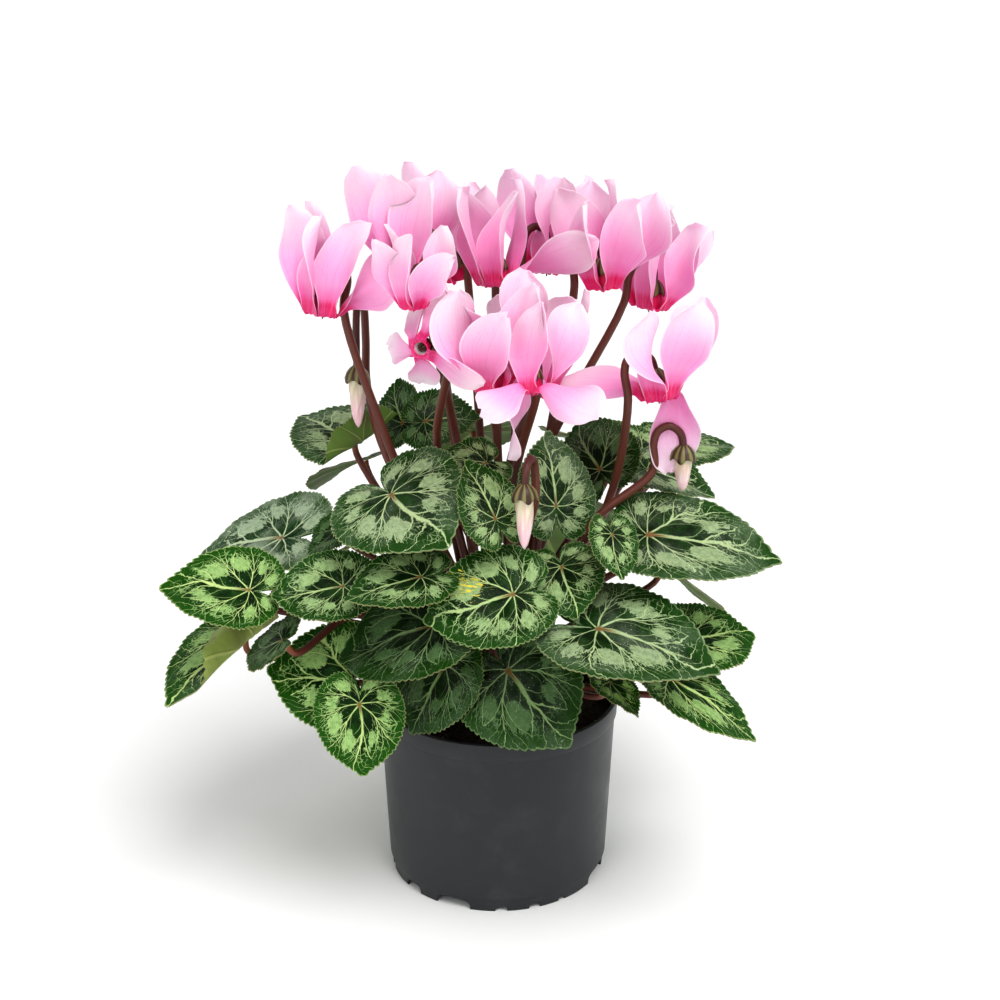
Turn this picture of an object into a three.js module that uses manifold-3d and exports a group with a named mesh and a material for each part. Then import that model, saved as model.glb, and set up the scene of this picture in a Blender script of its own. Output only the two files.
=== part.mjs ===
// A potted cyclamen: a florist's plant in a thin plastic nursery pot.
// Millimetres, +Z up. The origin is the centre of the pot's flat bottom, and -Y is the front.
// Angles are in degrees. A bearing is measured round Z from +X, so the front is at -90.
import * as THREE from "three";
import { mergeVertices } from "three/addons/utils/BufferGeometryUtils.js";
import Module from "manifold-3d";

const wasm = await Module();
wasm.setup();
const radians = THREE.MathUtils.degToRad;

// What touches keeps this gap.
const GAP = 0.3;

// Pot
const POT_HEIGHT = 94;
const RIM_RADIUS = 60;
const RIM_HEIGHT = 9;
const RIM_PROUD = 0.8;
const FOOT_RADIUS = 54;
const FOOT_HEIGHT = 7;
const FOOT_INSET = 0.9;
const POT_WALL = 1.3;
const FLOOR_THICKNESS = 2;
const POT_SIDES = 36;
const DRAIN_NOTCHES = 13;
const DRAIN_NOTCH_RADIUS = 3.6;

// Soil
const SOIL_TOP = 83;
const SOIL_LUMP = 1.6;

// Corm: the round flat tuber that every stalk grows from
const CORM_RADIUS = 25;
const CORM_HALF_HEIGHT = 18;
const CORM_CENTRE = new THREE.Vector3(0, 0, 78);

// Leaf blades
const BLADE_THICKNESS = 0.8;
const BLADE_RIM_POINTS = 18;
const BLADE_TOOTH = 0.04;
const BLADE_WAVE = 1.8;
const BLADE_FOLD = 0.12;
const BLADE_DROOP = 0.0035;
const LEAF_STALK_RADIUS = 1.6;
const LEAF_ROOT_RINGS = [21, 16, 12];

// Blooms
const PETAL_COUNT = 5;
const PETAL_LENGTH = 51;
const PETAL_WIDTH = 25;
const PETAL_THICKNESS = 0.8;
const PETAL_FOLD = 6;
const PETAL_ROOT_ANGLE = 150;
const PETAL_HOLLOW = 0.12;
const PETAL_STEPS = 40;
const MOUTH_RADIUS = 7;
const TUBE_RADIUS = 4.2;
const TUBE_HEIGHT = 11;
const FLOWER_STALK_RADIUS = 1.9;
const HOOK_REACH = 14;
const HOOK_RISE = 11;
const SIDEWAYS = 60;

// Buds
const BUD_RADIUS = 4.4;
const BUD_RIB = 0.1;

// How far a blade reaches from its joint, as shares of the way to its tip, at angles from its midrib.
const BLADE_OUTLINE = [
  [0, 1.0],
  [10, 0.9],
  [20, 0.815],
  [35, 0.72],
  [60, 0.635],
  [90, 0.585],
  [120, 0.545],
  [145, 0.505],
  [162, 0.42],
  [172, 0.26],
  [180, 0.1],
];

// How wide a petal is along its length, as shares of its full width.
const PETAL_OUTLINE = [
  [0, 0.26],
  [0.12, 0.4],
  [0.38, 0.85],
  [0.6, 1.0],
  [0.8, 0.92],
  [0.93, 0.6],
  [1, 0.25],
];

// Where a petal is measured along its length: close together at the fold, and wide apart beyond it.
const PETAL_STATIONS = [0, 0.125, 0.375, 0.8, 1];

// The five petals' places round the mouth, from the side where the flower stalk passes.
const PETAL_BEARINGS = [58, 116, 178, 240, 306];

// Each leaf: the joint where the stalk meets the blade, the bearing that the face looks to,
// how far the face leans that way, how far the midrib swings from straight downhill,
// the reach from joint to tip, and how wide the blade is for its length. Where its lobes behind
// the joint are short it has a back, and a stalk that winds between others has a point it goes past.
const LEAVES = [
  { joint: [-70, 24, 218], bearing: -100, lean: 20, swing: -125, reach: 43, width: 1.0 },
  { joint: [-104, -4, 177], bearing: -140, lean: 30, swing: -65, reach: 56, width: 0.9 },
  { joint: [-48, -50, 216], bearing: -135, lean: 30, swing: 75, reach: 46, width: 1.15 },
  { joint: [-114, -52, 170], bearing: -80, lean: 30, swing: -105, reach: 43, width: 0.9, back: 0.8 },
  { joint: [-122, -22, 133], bearing: -165, lean: 15, swing: 30, reach: 52, width: 1.0, back: 0.8 },
  { joint: [-98, -66, 151], bearing: -165, lean: 40, swing: -45, reach: 28, width: 1.0, back: 0.7, past: [-66, -34, 150] },
  { joint: [-70, -62, 176], bearing: -95, lean: 30, swing: -85, reach: 34, width: 1.0, past: [-44, -36, 172] },
  { joint: [-34, -75, 186], bearing: -95, lean: 15, swing: -70, reach: 36, width: 1.0, past: [-26, -40, 184] },
  { joint: [-68, -55, 127], bearing: -95, lean: 50, swing: -95, reach: 42, width: 1.05, back: 0.3 },
  { joint: [-63, -74, 123], bearing: -100, lean: 70, swing: 5, reach: 34, width: 1.05, past: [-54, -55, 126] },
  { joint: [-29, -72, 161], bearing: -130, lean: 35, swing: -60, reach: 54, width: 0.9, past: [-24, -46, 166] },
  { joint: [-24, -62, 137], bearing: -125, lean: 65, swing: -20, reach: 39, width: 1.0 },
  { joint: [5, -66, 136], bearing: -110, lean: 50, swing: 50, reach: 46, width: 1.1 },
  { joint: [7, -78, 179], bearing: -90, lean: 40, swing: -75, reach: 42, width: 1.0, past: [6, -42, 166] },
  { joint: [29, -58, 184], bearing: -100, lean: 30, swing: 20, reach: 28, width: 1.15 },
  { joint: [-1, -68, 211], bearing: -60, lean: 60, swing: -170, reach: 30, width: 0.9 },
  { joint: [-5, -38, 227], bearing: -105, lean: 20, swing: -50, reach: 33, width: 1.0, back: 0.6 },
  { joint: [-35, 15, 230], bearing: -110, lean: 35, swing: 110, reach: 27, width: 1.1 },
  { joint: [-47, 40, 221], bearing: -130, lean: 70, swing: -150, reach: 25, width: 1.0 },
  { joint: [27, -32, 204], bearing: -55, lean: 70, swing: 170, reach: 36, width: 1.0 },
  { joint: [49, -4, 212], bearing: -120, lean: 50, swing: -140, reach: 33, width: 1.1 },
  { joint: [45, -80, 163], bearing: -100, lean: 15, swing: 80, reach: 57, width: 0.95 },
  { joint: [69, -44, 194], bearing: -95, lean: 20, swing: 90, reach: 63, width: 0.8, back: 0.6 },
  { joint: [51, -66, 203], bearing: -50, lean: 50, swing: -15, reach: 22, width: 1.0, past: [42, -36, 190] },
  { joint: [86, 52, 205], bearing: -65, lean: 10, swing: 90, reach: 41, width: 0.95, back: 0.7 },
  { joint: [72, 2, 210], bearing: -50, lean: 15, swing: 40, reach: 35, width: 0.95, back: 0.8 },
  { joint: [91, -40, 140], bearing: -65, lean: 25, swing: 85, reach: 36, width: 1.0 },
  { joint: [80, -60, 129], bearing: -30, lean: 25, swing: 10, reach: 49, width: 0.8, back: 0.75 },
  { joint: [52, -62, 128], bearing: -30, lean: 30, swing: -10, reach: 21, width: 1.0 },
  { joint: [-75, -30, 191], bearing: -140, lean: 40, swing: -30, reach: 19, width: 1.0 },
  { joint: [71, 26, 212], bearing: -40, lean: 30, swing: 180, reach: 25, width: 1.1 },
  { joint: [84, 34, 146], bearing: 25, lean: 35, swing: 0, reach: 50, width: 1.0 },
  { joint: [70, 68, 158], bearing: 45, lean: 35, swing: 10, reach: 58, width: 1.0 },
  { joint: [20, 92, 150], bearing: 80, lean: 40, swing: -10, reach: 58, width: 1.0 },
  { joint: [-35, 88, 156], bearing: 110, lean: 35, swing: 10, reach: 54, width: 1.0 },
  { joint: [-86, 48, 146], bearing: 150, lean: 35, swing: -10, reach: 54, width: 1.0 },
  { joint: [-112, 16, 154], bearing: 175, lean: 30, swing: 5, reach: 44, width: 1.0 },
  { joint: [45, 66, 204], bearing: 60, lean: 25, swing: -20, reach: 46, width: 1.0 },
  { joint: [-12, 62, 210], bearing: 95, lean: 30, swing: 15, reach: 48, width: 1.0 },
  { joint: [-68, 58, 196], bearing: 140, lean: 25, swing: 0, reach: 44, width: 1.0 },
];

// Each bloom: the centre of its mouth, the bearing that the mouth looks to and its tilt from
// straight down, the bearing of the side where its stalk comes down, a point that the stalk passes,
// how far each petal leans out from straight up, and its size where it is smaller than the rest.
const BLOOMS = [
  { mouth: [-80, -10, 290], faces: -150, tilt: 10, stalk: 5, via: [-52, -2, 225], leans: [40, 10, 22, 10, 10] },
  { mouth: [-42, -6, 308], faces: 170, tilt: 5, stalk: -20, via: [-20, -6, 225], leans: [10, 10, 15, 5, 10] },
  { mouth: [-21, 45, 293], faces: -20, tilt: 5, stalk: -60, via: [-8, 20, 215], leans: [10, 10, 15, 10, 10] },
  { mouth: [-38, -56, 305], faces: 60, tilt: 5, stalk: 90, via: [-18, -14, 225], leans: [10, 10, 20, 15, 5] },
  { mouth: [-1, 6, 300], faces: -80, tilt: 5, stalk: 90, via: [0, 12, 225], leans: [10, 10, 15, 70, 10] },
  { mouth: [-40, -68, 289], faces: -110, tilt: 95, stalk: 70, via: [-31, -24, 232], leans: [10, 15, 20, 20, 10], size: 0.5 },
  { mouth: [-4, -50, 267], faces: 90, tilt: 5, stalk: 95, via: [0, -12, 228], leans: [10, 10, 15, 10, 10] },
  { mouth: [19, -11, 254], faces: 90, tilt: 10, stalk: 80, via: [6, -2, 215], leans: [10, 10, 15, 10, 10] },
  { mouth: [16, -68, 260], faces: -80, tilt: 5, stalk: 80, via: [8, -24, 215], leans: [100, 105, 140, 100, 95] },
  { mouth: [24, 50, 296], faces: -120, tilt: 5, stalk: -150, via: [8, 18, 215], leans: [10, 10, 20, 10, 10] },
  { mouth: [50, 10, 298], faces: 0, tilt: 5, stalk: 180, via: [24, 8, 220], leans: [10, 10, 15, 10, 10] },
  { mouth: [74, 42, 280], faces: 200, tilt: 10, stalk: 200, via: [24, 16, 215], leans: [10, 10, 20, 15, 10] },
  { mouth: [73, -35, 257], faces: -40, tilt: 10, stalk: 165, via: [52, -18, 200], leans: [40, 10, 20, 15, 90] },
];

// Each bud: where its calyx ends, the side where its stalk comes down, how high its hook rises,
// and a point that the stalk passes.
const BUDS = [
  { top: [-67, 12, 256], length: 28, stalk: 10, tilt: 0, rise: 40, via: [-50, 6, 222] },
  { top: [12, -74, 227], length: 28, stalk: 70, tilt: 0, rise: 12, via: [10, -50, 190] },
  { top: [86, -26, 229], length: 20, stalk: 180, tilt: 0, rise: 12, via: [47, -30, 198] },
  { top: [-24, -32, 211], length: 20, stalk: 80, tilt: 0, rise: 12, via: [-12, -16, 180] },
];

// Materials

const plastic = new THREE.MeshStandardMaterial({ color: 0x2b2f35, roughness: 0.45, metalness: 0 });
const peat = new THREE.MeshStandardMaterial({ color: 0x2a1c14, roughness: 0.95, metalness: 0 });
const stalkSkin = new THREE.MeshStandardMaterial({ color: 0x5a2a1e, roughness: 0.5, metalness: 0 });
const leafGreen = new THREE.MeshStandardMaterial({ color: 0x2f5a33, roughness: 0.45, metalness: 0 });
const petalPink = new THREE.MeshStandardMaterial({ color: 0xf08fc0, roughness: 0.6, metalness: 0 });
const budBlush = new THREE.MeshStandardMaterial({ color: 0xf3d9dc, roughness: 0.6, metalness: 0 });

// Turning meshes into solids and back

function solidOf(geometry) {
  const bare = geometry.clone();
  bare.deleteAttribute("normal");
  bare.deleteAttribute("uv");
  const merged = mergeVertices(bare, 1e-4);
  const mesh = new wasm.Mesh({
    numProp: 3,
    vertProperties: new Float32Array(merged.attributes.position.array),
    triVerts: new Uint32Array(merged.index.array),
  });
  return new wasm.Manifold(mesh);
}

function geometryOf(solid) {
  const { vertProperties, triVerts } = solid.getMesh();
  const geometry = new THREE.BufferGeometry();
  geometry.setAttribute("position", new THREE.BufferAttribute(vertProperties, 3));
  geometry.setIndex(new THREE.BufferAttribute(triVerts, 1));
  geometry.computeVertexNormals();
  return geometry;
}

function fuse(solids) {
  return solids.reduce((whole, next) => whole.add(next));
}

// Shapes

// Reads a value off a list of [position, value] pairs, in straight lines between them.
function valueAt(pairs, position) {
  const next = pairs.findIndex(([place]) => place >= position);
  if (next <= 0) return pairs[0][1];
  const [place0, value0] = pairs[next - 1];
  const [place1, value1] = pairs[next];
  return THREE.MathUtils.mapLinear(position, place0, place1, value0, value1);
}

// A thin solid round a sheet: both faces carry the same triangles, and the rim joins them.
function thickSheet(points, faces, rim, thickness) {
  const sheet = new THREE.BufferGeometry().setFromPoints(points);
  sheet.setIndex(faces.flat());
  sheet.computeVertexNormals();
  const normals = sheet.getAttribute("normal");
  const normal = new THREE.Vector3();
  const shifted = (side) =>
    points.map((point, i) => {
      normal.fromBufferAttribute(normals, i);
      return point.clone().addScaledVector(normal, (side * thickness) / 2);
    });
  const under = points.length;
  const triangles = faces.map(([a, b, c]) => [a, b, c]);
  faces.forEach(([a, b, c]) => triangles.push([a + under, c + under, b + under]));
  rim.forEach((a, i) => {
    const b = rim[(i + 1) % rim.length];
    triangles.push([a + under, b + under, b], [a + under, b, a]);
  });
  const solid = new THREE.BufferGeometry().setFromPoints([...shifted(1), ...shifted(-1)]);
  solid.setIndex(triangles.flat());
  return solid;
}

// A smooth path whose sections crowd where its points do, so a tight bend stays round.
class StalkPath extends THREE.CatmullRomCurve3 {
  getPointAt(share, target) {
    return this.getPoint(share, target);
  }

  getTangentAt(share, target) {
    return this.getTangent(share, target);
  }
}

// A round stalk with few sides along a smooth curve through the points.
function stalk(points, radius, sides, steps) {
  const section = new THREE.Shape();
  for (let i = 0; i < sides; i++) {
    const angle = (i / sides) * 2 * Math.PI;
    const corner = new THREE.Vector2(radius * Math.cos(angle), radius * Math.sin(angle));
    if (i === 0) section.moveTo(corner.x, corner.y);
    else section.lineTo(corner.x, corner.y);
  }
  const extrudePath = new StalkPath(points, false, "centripetal");
  return new THREE.ExtrudeGeometry(section, { steps, extrudePath, bevelEnabled: false });
}

// Pot

function potInnerRadius(height) {
  const foot = FOOT_RADIUS + FOOT_INSET - POT_WALL;
  const top = RIM_RADIUS - RIM_PROUD - POT_WALL;
  return THREE.MathUtils.mapLinear(height, 0, POT_HEIGHT, foot, top);
}

function potOuterRadius(height) {
  return potInnerRadius(height) + POT_WALL;
}

function makePot() {
  const seam = POT_HEIGHT - RIM_HEIGHT;
  const profile = [
    [0, 0],
    [FOOT_RADIUS - 1, 0],
    [FOOT_RADIUS, 1],
    [FOOT_RADIUS, FOOT_HEIGHT - 0.5],
    [potOuterRadius(FOOT_HEIGHT), FOOT_HEIGHT + 0.5],
    [potOuterRadius(seam), seam - 0.4],
    [RIM_RADIUS - 0.3, seam],
    [RIM_RADIUS, POT_HEIGHT - 0.8],
    [RIM_RADIUS - 0.6, POT_HEIGHT],
    [potInnerRadius(POT_HEIGHT), POT_HEIGHT],
    [potInnerRadius(FLOOR_THICKNESS + 1), FLOOR_THICKNESS + 1],
    [potInnerRadius(FLOOR_THICKNESS) - 1, FLOOR_THICKNESS],
    [0, FLOOR_THICKNESS],
  ].map(([radius, height]) => new THREE.Vector2(radius, height));
  const shell = new THREE.LatheGeometry(profile, POT_SIDES).rotateX(Math.PI / 2);
  return cutDrainNotches(solidOf(shell));
}

// Scalloped drain openings through the bottom corner, where the wall meets the floor.
function cutDrainNotches(pot) {
  let cut = pot;
  for (let i = 0; i < DRAIN_NOTCHES; i++) {
    const notch = new THREE.CylinderGeometry(DRAIN_NOTCH_RADIUS, DRAIN_NOTCH_RADIUS, 5, 8);
    notch.rotateZ(Math.PI / 2);
    notch.translate(FOOT_RADIUS - 0.5, 0, 0);
    notch.rotateZ((2 * Math.PI * (i + 0.5)) / DRAIN_NOTCHES);
    cut = cut.subtract(solidOf(notch));
  }
  return cut;
}

// Soil

// Peat lies uneven: low lumps from three crossing waves.
function soilHeight(x, y) {
  const lumps = Math.sin(x * 0.31 + 1) * Math.cos(y * 0.27) + 0.6 * Math.sin(x * 0.13 - y * 0.37);
  return SOIL_TOP + SOIL_LUMP * lumps;
}

function makeSoil(corm) {
  const bottom = FLOOR_THICKNESS + 1 + GAP;
  const reach = (height) => potInnerRadius(height) - GAP - 0.2;
  const rings = [0.28, 0.5, 0.75, 1];
  const profile = [
    [0, bottom],
    [reach(bottom), bottom],
    ...rings.map((share) => [share * reach(SOIL_TOP), SOIL_TOP]).reverse(),
    [0, SOIL_TOP],
  ].map(([radius, height]) => new THREE.Vector2(radius, height));
  const block = new THREE.LatheGeometry(profile, 24).rotateX(Math.PI / 2);
  const place = block.getAttribute("position");
  for (let i = 0; i < place.count; i++) {
    if (place.getZ(i) < SOIL_TOP - 1) continue;
    place.setZ(i, soilHeight(place.getX(i), place.getY(i)));
  }
  return solidOf(block).subtract(corm);
}

// Corm

function makeCorm(extra) {
  const ball = new THREE.SphereGeometry(1, 12, 8).rotateX(Math.PI / 2);
  ball.scale(CORM_RADIUS + extra, CORM_RADIUS + extra, CORM_HALF_HEIGHT + extra);
  ball.translate(CORM_CENTRE.x, CORM_CENTRE.y, CORM_CENTRE.z);
  return solidOf(ball);
}

// A point just under the corm's skin, at a bearing and a distance from its middle.
function cormPoint(bearing, distance) {
  const share = distance / CORM_RADIUS;
  const rise = CORM_HALF_HEIGHT * Math.sqrt(1 - share * share);
  return new THREE.Vector3(
    distance * Math.cos(bearing),
    distance * Math.sin(bearing),
    CORM_CENTRE.z + rise - 2.5,
  );
}

// Leaves

function placeLeaf(object, leaf) {
  object.position.set(...leaf.joint);
  object.rotateZ(radians(leaf.bearing));
  object.rotateY(radians(leaf.lean));
  object.rotateZ(radians(leaf.swing));
}

// A blade folds up along its midrib and droops towards its tip. Three waves run round its rim
// and die out towards the joint.
function bladeHeight(leaf, index, share, angle) {
  const wave = BLADE_WAVE * share * share * Math.sin(3 * angle + index * 1.7);
  const reach = leaf.reach * share;
  const fold = BLADE_FOLD * reach * Math.abs(Math.sin(angle));
  const droop = (BLADE_DROOP * reach * reach * (1 + Math.cos(angle))) / 2;
  return wave + fold - droop;
}

function makeBlade(leaf, index) {
  const points = [new THREE.Vector3(0, 0, 0)];
  const addPoint = (angle, share, tooth) => {
    const outline = valueAt(BLADE_OUTLINE, Math.abs(THREE.MathUtils.radToDeg(angle)));
    const radius = leaf.reach * outline * share * tooth;
    const ahead = radius * Math.cos(angle);
    const x = ahead < 0 ? ahead * (leaf.back ?? 1) : ahead;
    const y = radius * Math.sin(angle) * leaf.width;
    points.push(new THREE.Vector3(x, y, bladeHeight(leaf, index, share * outline, angle)));
  };
  const angleOf = (i, count) => -Math.PI + (2 * Math.PI * i) / count;
  const innerPoints = BLADE_RIM_POINTS / 2;
  for (let i = 0; i < innerPoints; i++) addPoint(angleOf(i, innerPoints), 0.5, 1);
  for (let i = 0; i < BLADE_RIM_POINTS; i++) {
    const tooth = i % 2 === 0 ? 1 + BLADE_TOOTH : 1 - BLADE_TOOTH;
    addPoint(angleOf(i, BLADE_RIM_POINTS), 1, tooth);
  }
  const inner = (i) => 1 + (i % innerPoints);
  const rim = (i) => 1 + innerPoints + (i % BLADE_RIM_POINTS);
  const faces = [];
  for (let i = 0; i < innerPoints; i++) {
    faces.push([0, inner(i), inner(i + 1)]);
    faces.push([inner(i), rim(2 * i), rim(2 * i + 1)]);
    faces.push([inner(i), rim(2 * i + 1), inner(i + 1)]);
    faces.push([inner(i + 1), rim(2 * i + 1), rim(2 * i + 2)]);
  }
  const rimLoop = Array.from({ length: BLADE_RIM_POINTS }, (_, i) => rim(i));
  return thickSheet(points, faces, rimLoop, BLADE_THICKNESS);
}

// A leaf stalk rises from the corm, arches outward and meets the blade's underside square on.
function makeLeafStalk(leaf, index) {
  const frame = new THREE.Object3D();
  placeLeaf(frame, leaf);
  frame.updateMatrixWorld();
  const below = (depth) => frame.localToWorld(new THREE.Vector3(0, 0, -depth));
  const end = below(BLADE_THICKNESS / 2 + GAP + 0.1);
  const bearing = Math.atan2(end.y, end.x);
  const root = cormPoint(bearing, LEAF_ROOT_RINGS[index % LEAF_ROOT_RINGS.length]);
  const rise = leaf.past
    ? new THREE.Vector3(...leaf.past)
    : new THREE.Vector3(root.x * 1.6, root.y * 1.6, root.z + 0.45 * (end.z - root.z));
  return solidOf(stalk([root, rise, below(9), end], LEAF_STALK_RADIUS, 4, 3));
}

// Blooms and buds

function placeBloom(object, place, stalkBearing, faces, tilt) {
  object.position.copy(place);
  object.rotateZ(radians(faces));
  object.rotateY(radians(-tilt));
  object.rotateZ(radians(stalkBearing - faces));
}

// The short tube between the calyx and the mouth, closed at the top and open below.
function makeFlowerTube() {
  const profile = [
    [0, TUBE_HEIGHT - 3],
    [TUBE_RADIUS - 1.2, TUBE_HEIGHT - 4],
    [MOUTH_RADIUS - 1.3, 0],
    [MOUTH_RADIUS, 0.4],
    [TUBE_RADIUS, TUBE_HEIGHT - 2],
    [0, TUBE_HEIGHT],
  ].map(([radius, height]) => new THREE.Vector2(radius, height));
  return solidOf(new THREE.LatheGeometry(profile, 8).rotateX(Math.PI / 2));
}

// The petal's middle line: down out of the mouth, folded back at the lip, then standing up.
function petalLine(lean) {
  const step = PETAL_LENGTH / PETAL_STEPS;
  const line = [];
  let radius = MOUTH_RADIUS - 0.8;
  let height = 1.5;
  for (let i = 0; i <= PETAL_STEPS; i++) {
    const folded = THREE.MathUtils.smoothstep(i * step, 0, PETAL_FOLD);
    const angle = radians(THREE.MathUtils.lerp(PETAL_ROOT_ANGLE, lean, folded));
    line.push({ radius, height, angle });
    radius += step * Math.sin(angle);
    height += step * Math.cos(angle);
  }
  return line;
}

// A petal widens above the fold, is hollowed along its middle and twists towards its tip.
function makePetal(lean, bearing, twist) {
  const line = petalLine(lean);
  const points = [];
  for (const share of PETAL_STATIONS) {
    const { radius, height, angle } = line[Math.round(share * PETAL_STEPS)];
    const halfWidth = (PETAL_WIDTH / 2) * valueAt(PETAL_OUTLINE, share);
    const turn = radians(twist) * share;
    const outward = new THREE.Vector3(Math.cos(angle), 0, -Math.sin(angle));
    for (const side of [-1, 0, 1]) {
      const across = side * halfWidth;
      const point = new THREE.Vector3(radius, across * Math.cos(turn), height);
      const hollow = PETAL_HOLLOW * Math.abs(across) * share;
      points.push(point.addScaledVector(outward, across * Math.sin(turn) + hollow));
    }
  }
  const last = PETAL_STATIONS.length - 1;
  const faces = [];
  for (let i = 0; i < last; i++) {
    for (const a of [i * 3, i * 3 + 1]) faces.push([a, a + 1, a + 4], [a, a + 4, a + 3]);
  }
  const rim = [0, 1, 2];
  for (let i = 1; i < last; i++) rim.push(i * 3 + 2);
  rim.push(last * 3 + 2, last * 3 + 1, last * 3);
  for (let i = last - 1; i > 0; i--) rim.push(i * 3);
  const sheet = thickSheet(points, faces, rim, PETAL_THICKNESS);
  return solidOf(sheet.rotateZ(radians(bearing)));
}

function petalTwist(bloomIndex, petalIndex) {
  return 60 + 12 * Math.sin(bloomIndex * 2.3 + petalIndex * 1.9);
}

// A bloom is its tube and five petals. Two of them leave room for its own stalk to come down between.
function makeBloom(bloom, index) {
  const petals = PETAL_BEARINGS.map((bearing, i) =>
    makePetal(bloom.leans[i], bearing, petalTwist(index, i)),
  );
  return fuse([makeFlowerTube(), ...petals]);
}

// A closed bud: five petals wound round each other to a point, so its section has five low ribs.
function makeBud(length) {
  const profile = [
    [0, 0],
    [TUBE_RADIUS, -2],
    [BUD_RADIUS, -0.25 * length],
    [BUD_RADIUS, -0.45 * length],
    [0.72 * BUD_RADIUS, -0.75 * length],
    [0, -length],
  ]
    .reverse()
    .map(([radius, height]) => new THREE.Vector2(radius, height));
  const body = new THREE.LatheGeometry(profile, 10).rotateX(Math.PI / 2);
  const place = body.getAttribute("position");
  for (let i = 0; i < place.count; i++) {
    if (place.getZ(i) > -3) continue;
    const angle = Math.atan2(place.getY(i), place.getX(i));
    const rib = 1 + BUD_RIB * Math.cos(PETAL_COUNT * angle);
    place.setX(i, place.getX(i) * rib);
    place.setY(i, place.getY(i) * rib);
  }
  body.rotateZ(0.3);
  return solidOf(body);
}

// Stalks of blooms and buds

// The hook in the flower's own frame: up on one side of it, over, and down into its calyx.
function hookPoints(calyx, rise) {
  return [
    [HOOK_REACH, calyx - 10],
    [HOOK_REACH, calyx + 0.3 * rise],
    [0.85 * HOOK_REACH, calyx + 0.8 * rise],
    [0.5 * HOOK_REACH, calyx + rise],
    [0.12 * HOOK_REACH, calyx + 0.7 * rise],
    [0, calyx + 1],
  ].map(([across, height]) => new THREE.Vector3(across, 0, height));
}

// The stalk of a bloom that looks sideways comes up from behind and below.
function sideCrook(calyx) {
  return [
    [14, calyx + 13],
    [5, calyx + 11],
    [0, calyx + 1],
  ].map(([across, height]) => new THREE.Vector3(across, 0, height));
}

// The calyx caps the top of the tube or bud with five pointed sepals.
function makeCalyx(height) {
  const profile = [
    [0, 2 * GAP],
    [TUBE_RADIUS + 2 * GAP, -1.7],
    [TUBE_RADIUS + 1.8, -5],
    [TUBE_RADIUS + 1.2, -0.4],
    [0, 3.6],
  ].map(([radius, place]) => new THREE.Vector2(radius, place));
  const cap = new THREE.LatheGeometry(profile, 2 * PETAL_COUNT).rotateX(Math.PI / 2);
  const place = cap.getAttribute("position");
  for (let i = 0; i < place.count; i++) {
    if (place.getZ(i) > -4) continue;
    const angle = Math.atan2(place.getY(i), place.getX(i));
    place.setZ(i, place.getZ(i) + 1.2 * (1 - Math.cos(PETAL_COUNT * angle)));
  }
  return cap.translate(0, 0, height);
}

// A flower stalk rises from the corm, passes its own point among the leaves and hooks over.
function makeFlowerStalk(frame, calyxHeight, rise, via, rootDistance) {
  frame.updateMatrixWorld();
  const crook = rise > 0 ? hookPoints(calyxHeight, rise) : sideCrook(calyxHeight);
  const hook = crook.map((point) => frame.localToWorld(point));
  const passes = new THREE.Vector3(...via);
  const root = cormPoint(Math.atan2(passes.y, passes.x), rootDistance);
  const lower = new THREE.Vector3().lerpVectors(root, passes, 0.5);
  lower.z += 8;
  const rising = stalk([root, lower, passes, ...hook], FLOWER_STALK_RADIUS, 5, 8);
  const calyx = makeCalyx(calyxHeight).applyMatrix4(frame.matrixWorld);
  return [solidOf(rising), solidOf(calyx)];
}

// Putting it together

const plant = new THREE.Group();
const addPiece = (name, geometry, material) => {
  const mesh = new THREE.Mesh(geometry, material);
  mesh.name = name;
  plant.add(mesh);
  return mesh;
};
const numbered = (stem, index) => `${stem}_${String(index + 1).padStart(2, "0")}`;

addPiece("pot", geometryOf(makePot()), plastic);
addPiece("soil", geometryOf(makeSoil(makeCorm(GAP))), peat);

const stalks = [makeCorm(0)];

LEAVES.forEach((leaf, i) => {
  const blade = addPiece(numbered("leaf", i), makeBlade(leaf, i), leafGreen);
  placeLeaf(blade, leaf);
  stalks.push(makeLeafStalk(leaf, i));
});

BLOOMS.forEach((bloom, i) => {
  const head = addPiece(numbered("bloom", i), geometryOf(makeBloom(bloom, i)), petalPink);
  placeBloom(head, new THREE.Vector3(...bloom.mouth), bloom.stalk, bloom.faces, bloom.tilt);
  if (bloom.size) head.scale.setScalar(bloom.size);
  const rise = bloom.tilt > SIDEWAYS ? 0 : HOOK_RISE;
  stalks.push(...makeFlowerStalk(head, TUBE_HEIGHT, rise, bloom.via, i % 2 ? 4 : 9));
});

BUDS.forEach((bud, i) => {
  const head = addPiece(numbered("bud", i), geometryOf(makeBud(bud.length)), budBlush);
  placeBloom(head, new THREE.Vector3(...bud.top), bud.stalk, bud.stalk, bud.tilt);
  stalks.push(...makeFlowerStalk(head, 0, bud.rise, bud.via, 9));
});

addPiece("corm_and_stalks", geometryOf(fuse(stalks)), stalkSkin);

export default plant;
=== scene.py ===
import random
from functools import partialmethod
from math import atan2, copysign, cos, degrees, pi, radians, sin, sqrt

import bmesh
import bpy
from mathutils import Matrix, Vector, noise


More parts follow.
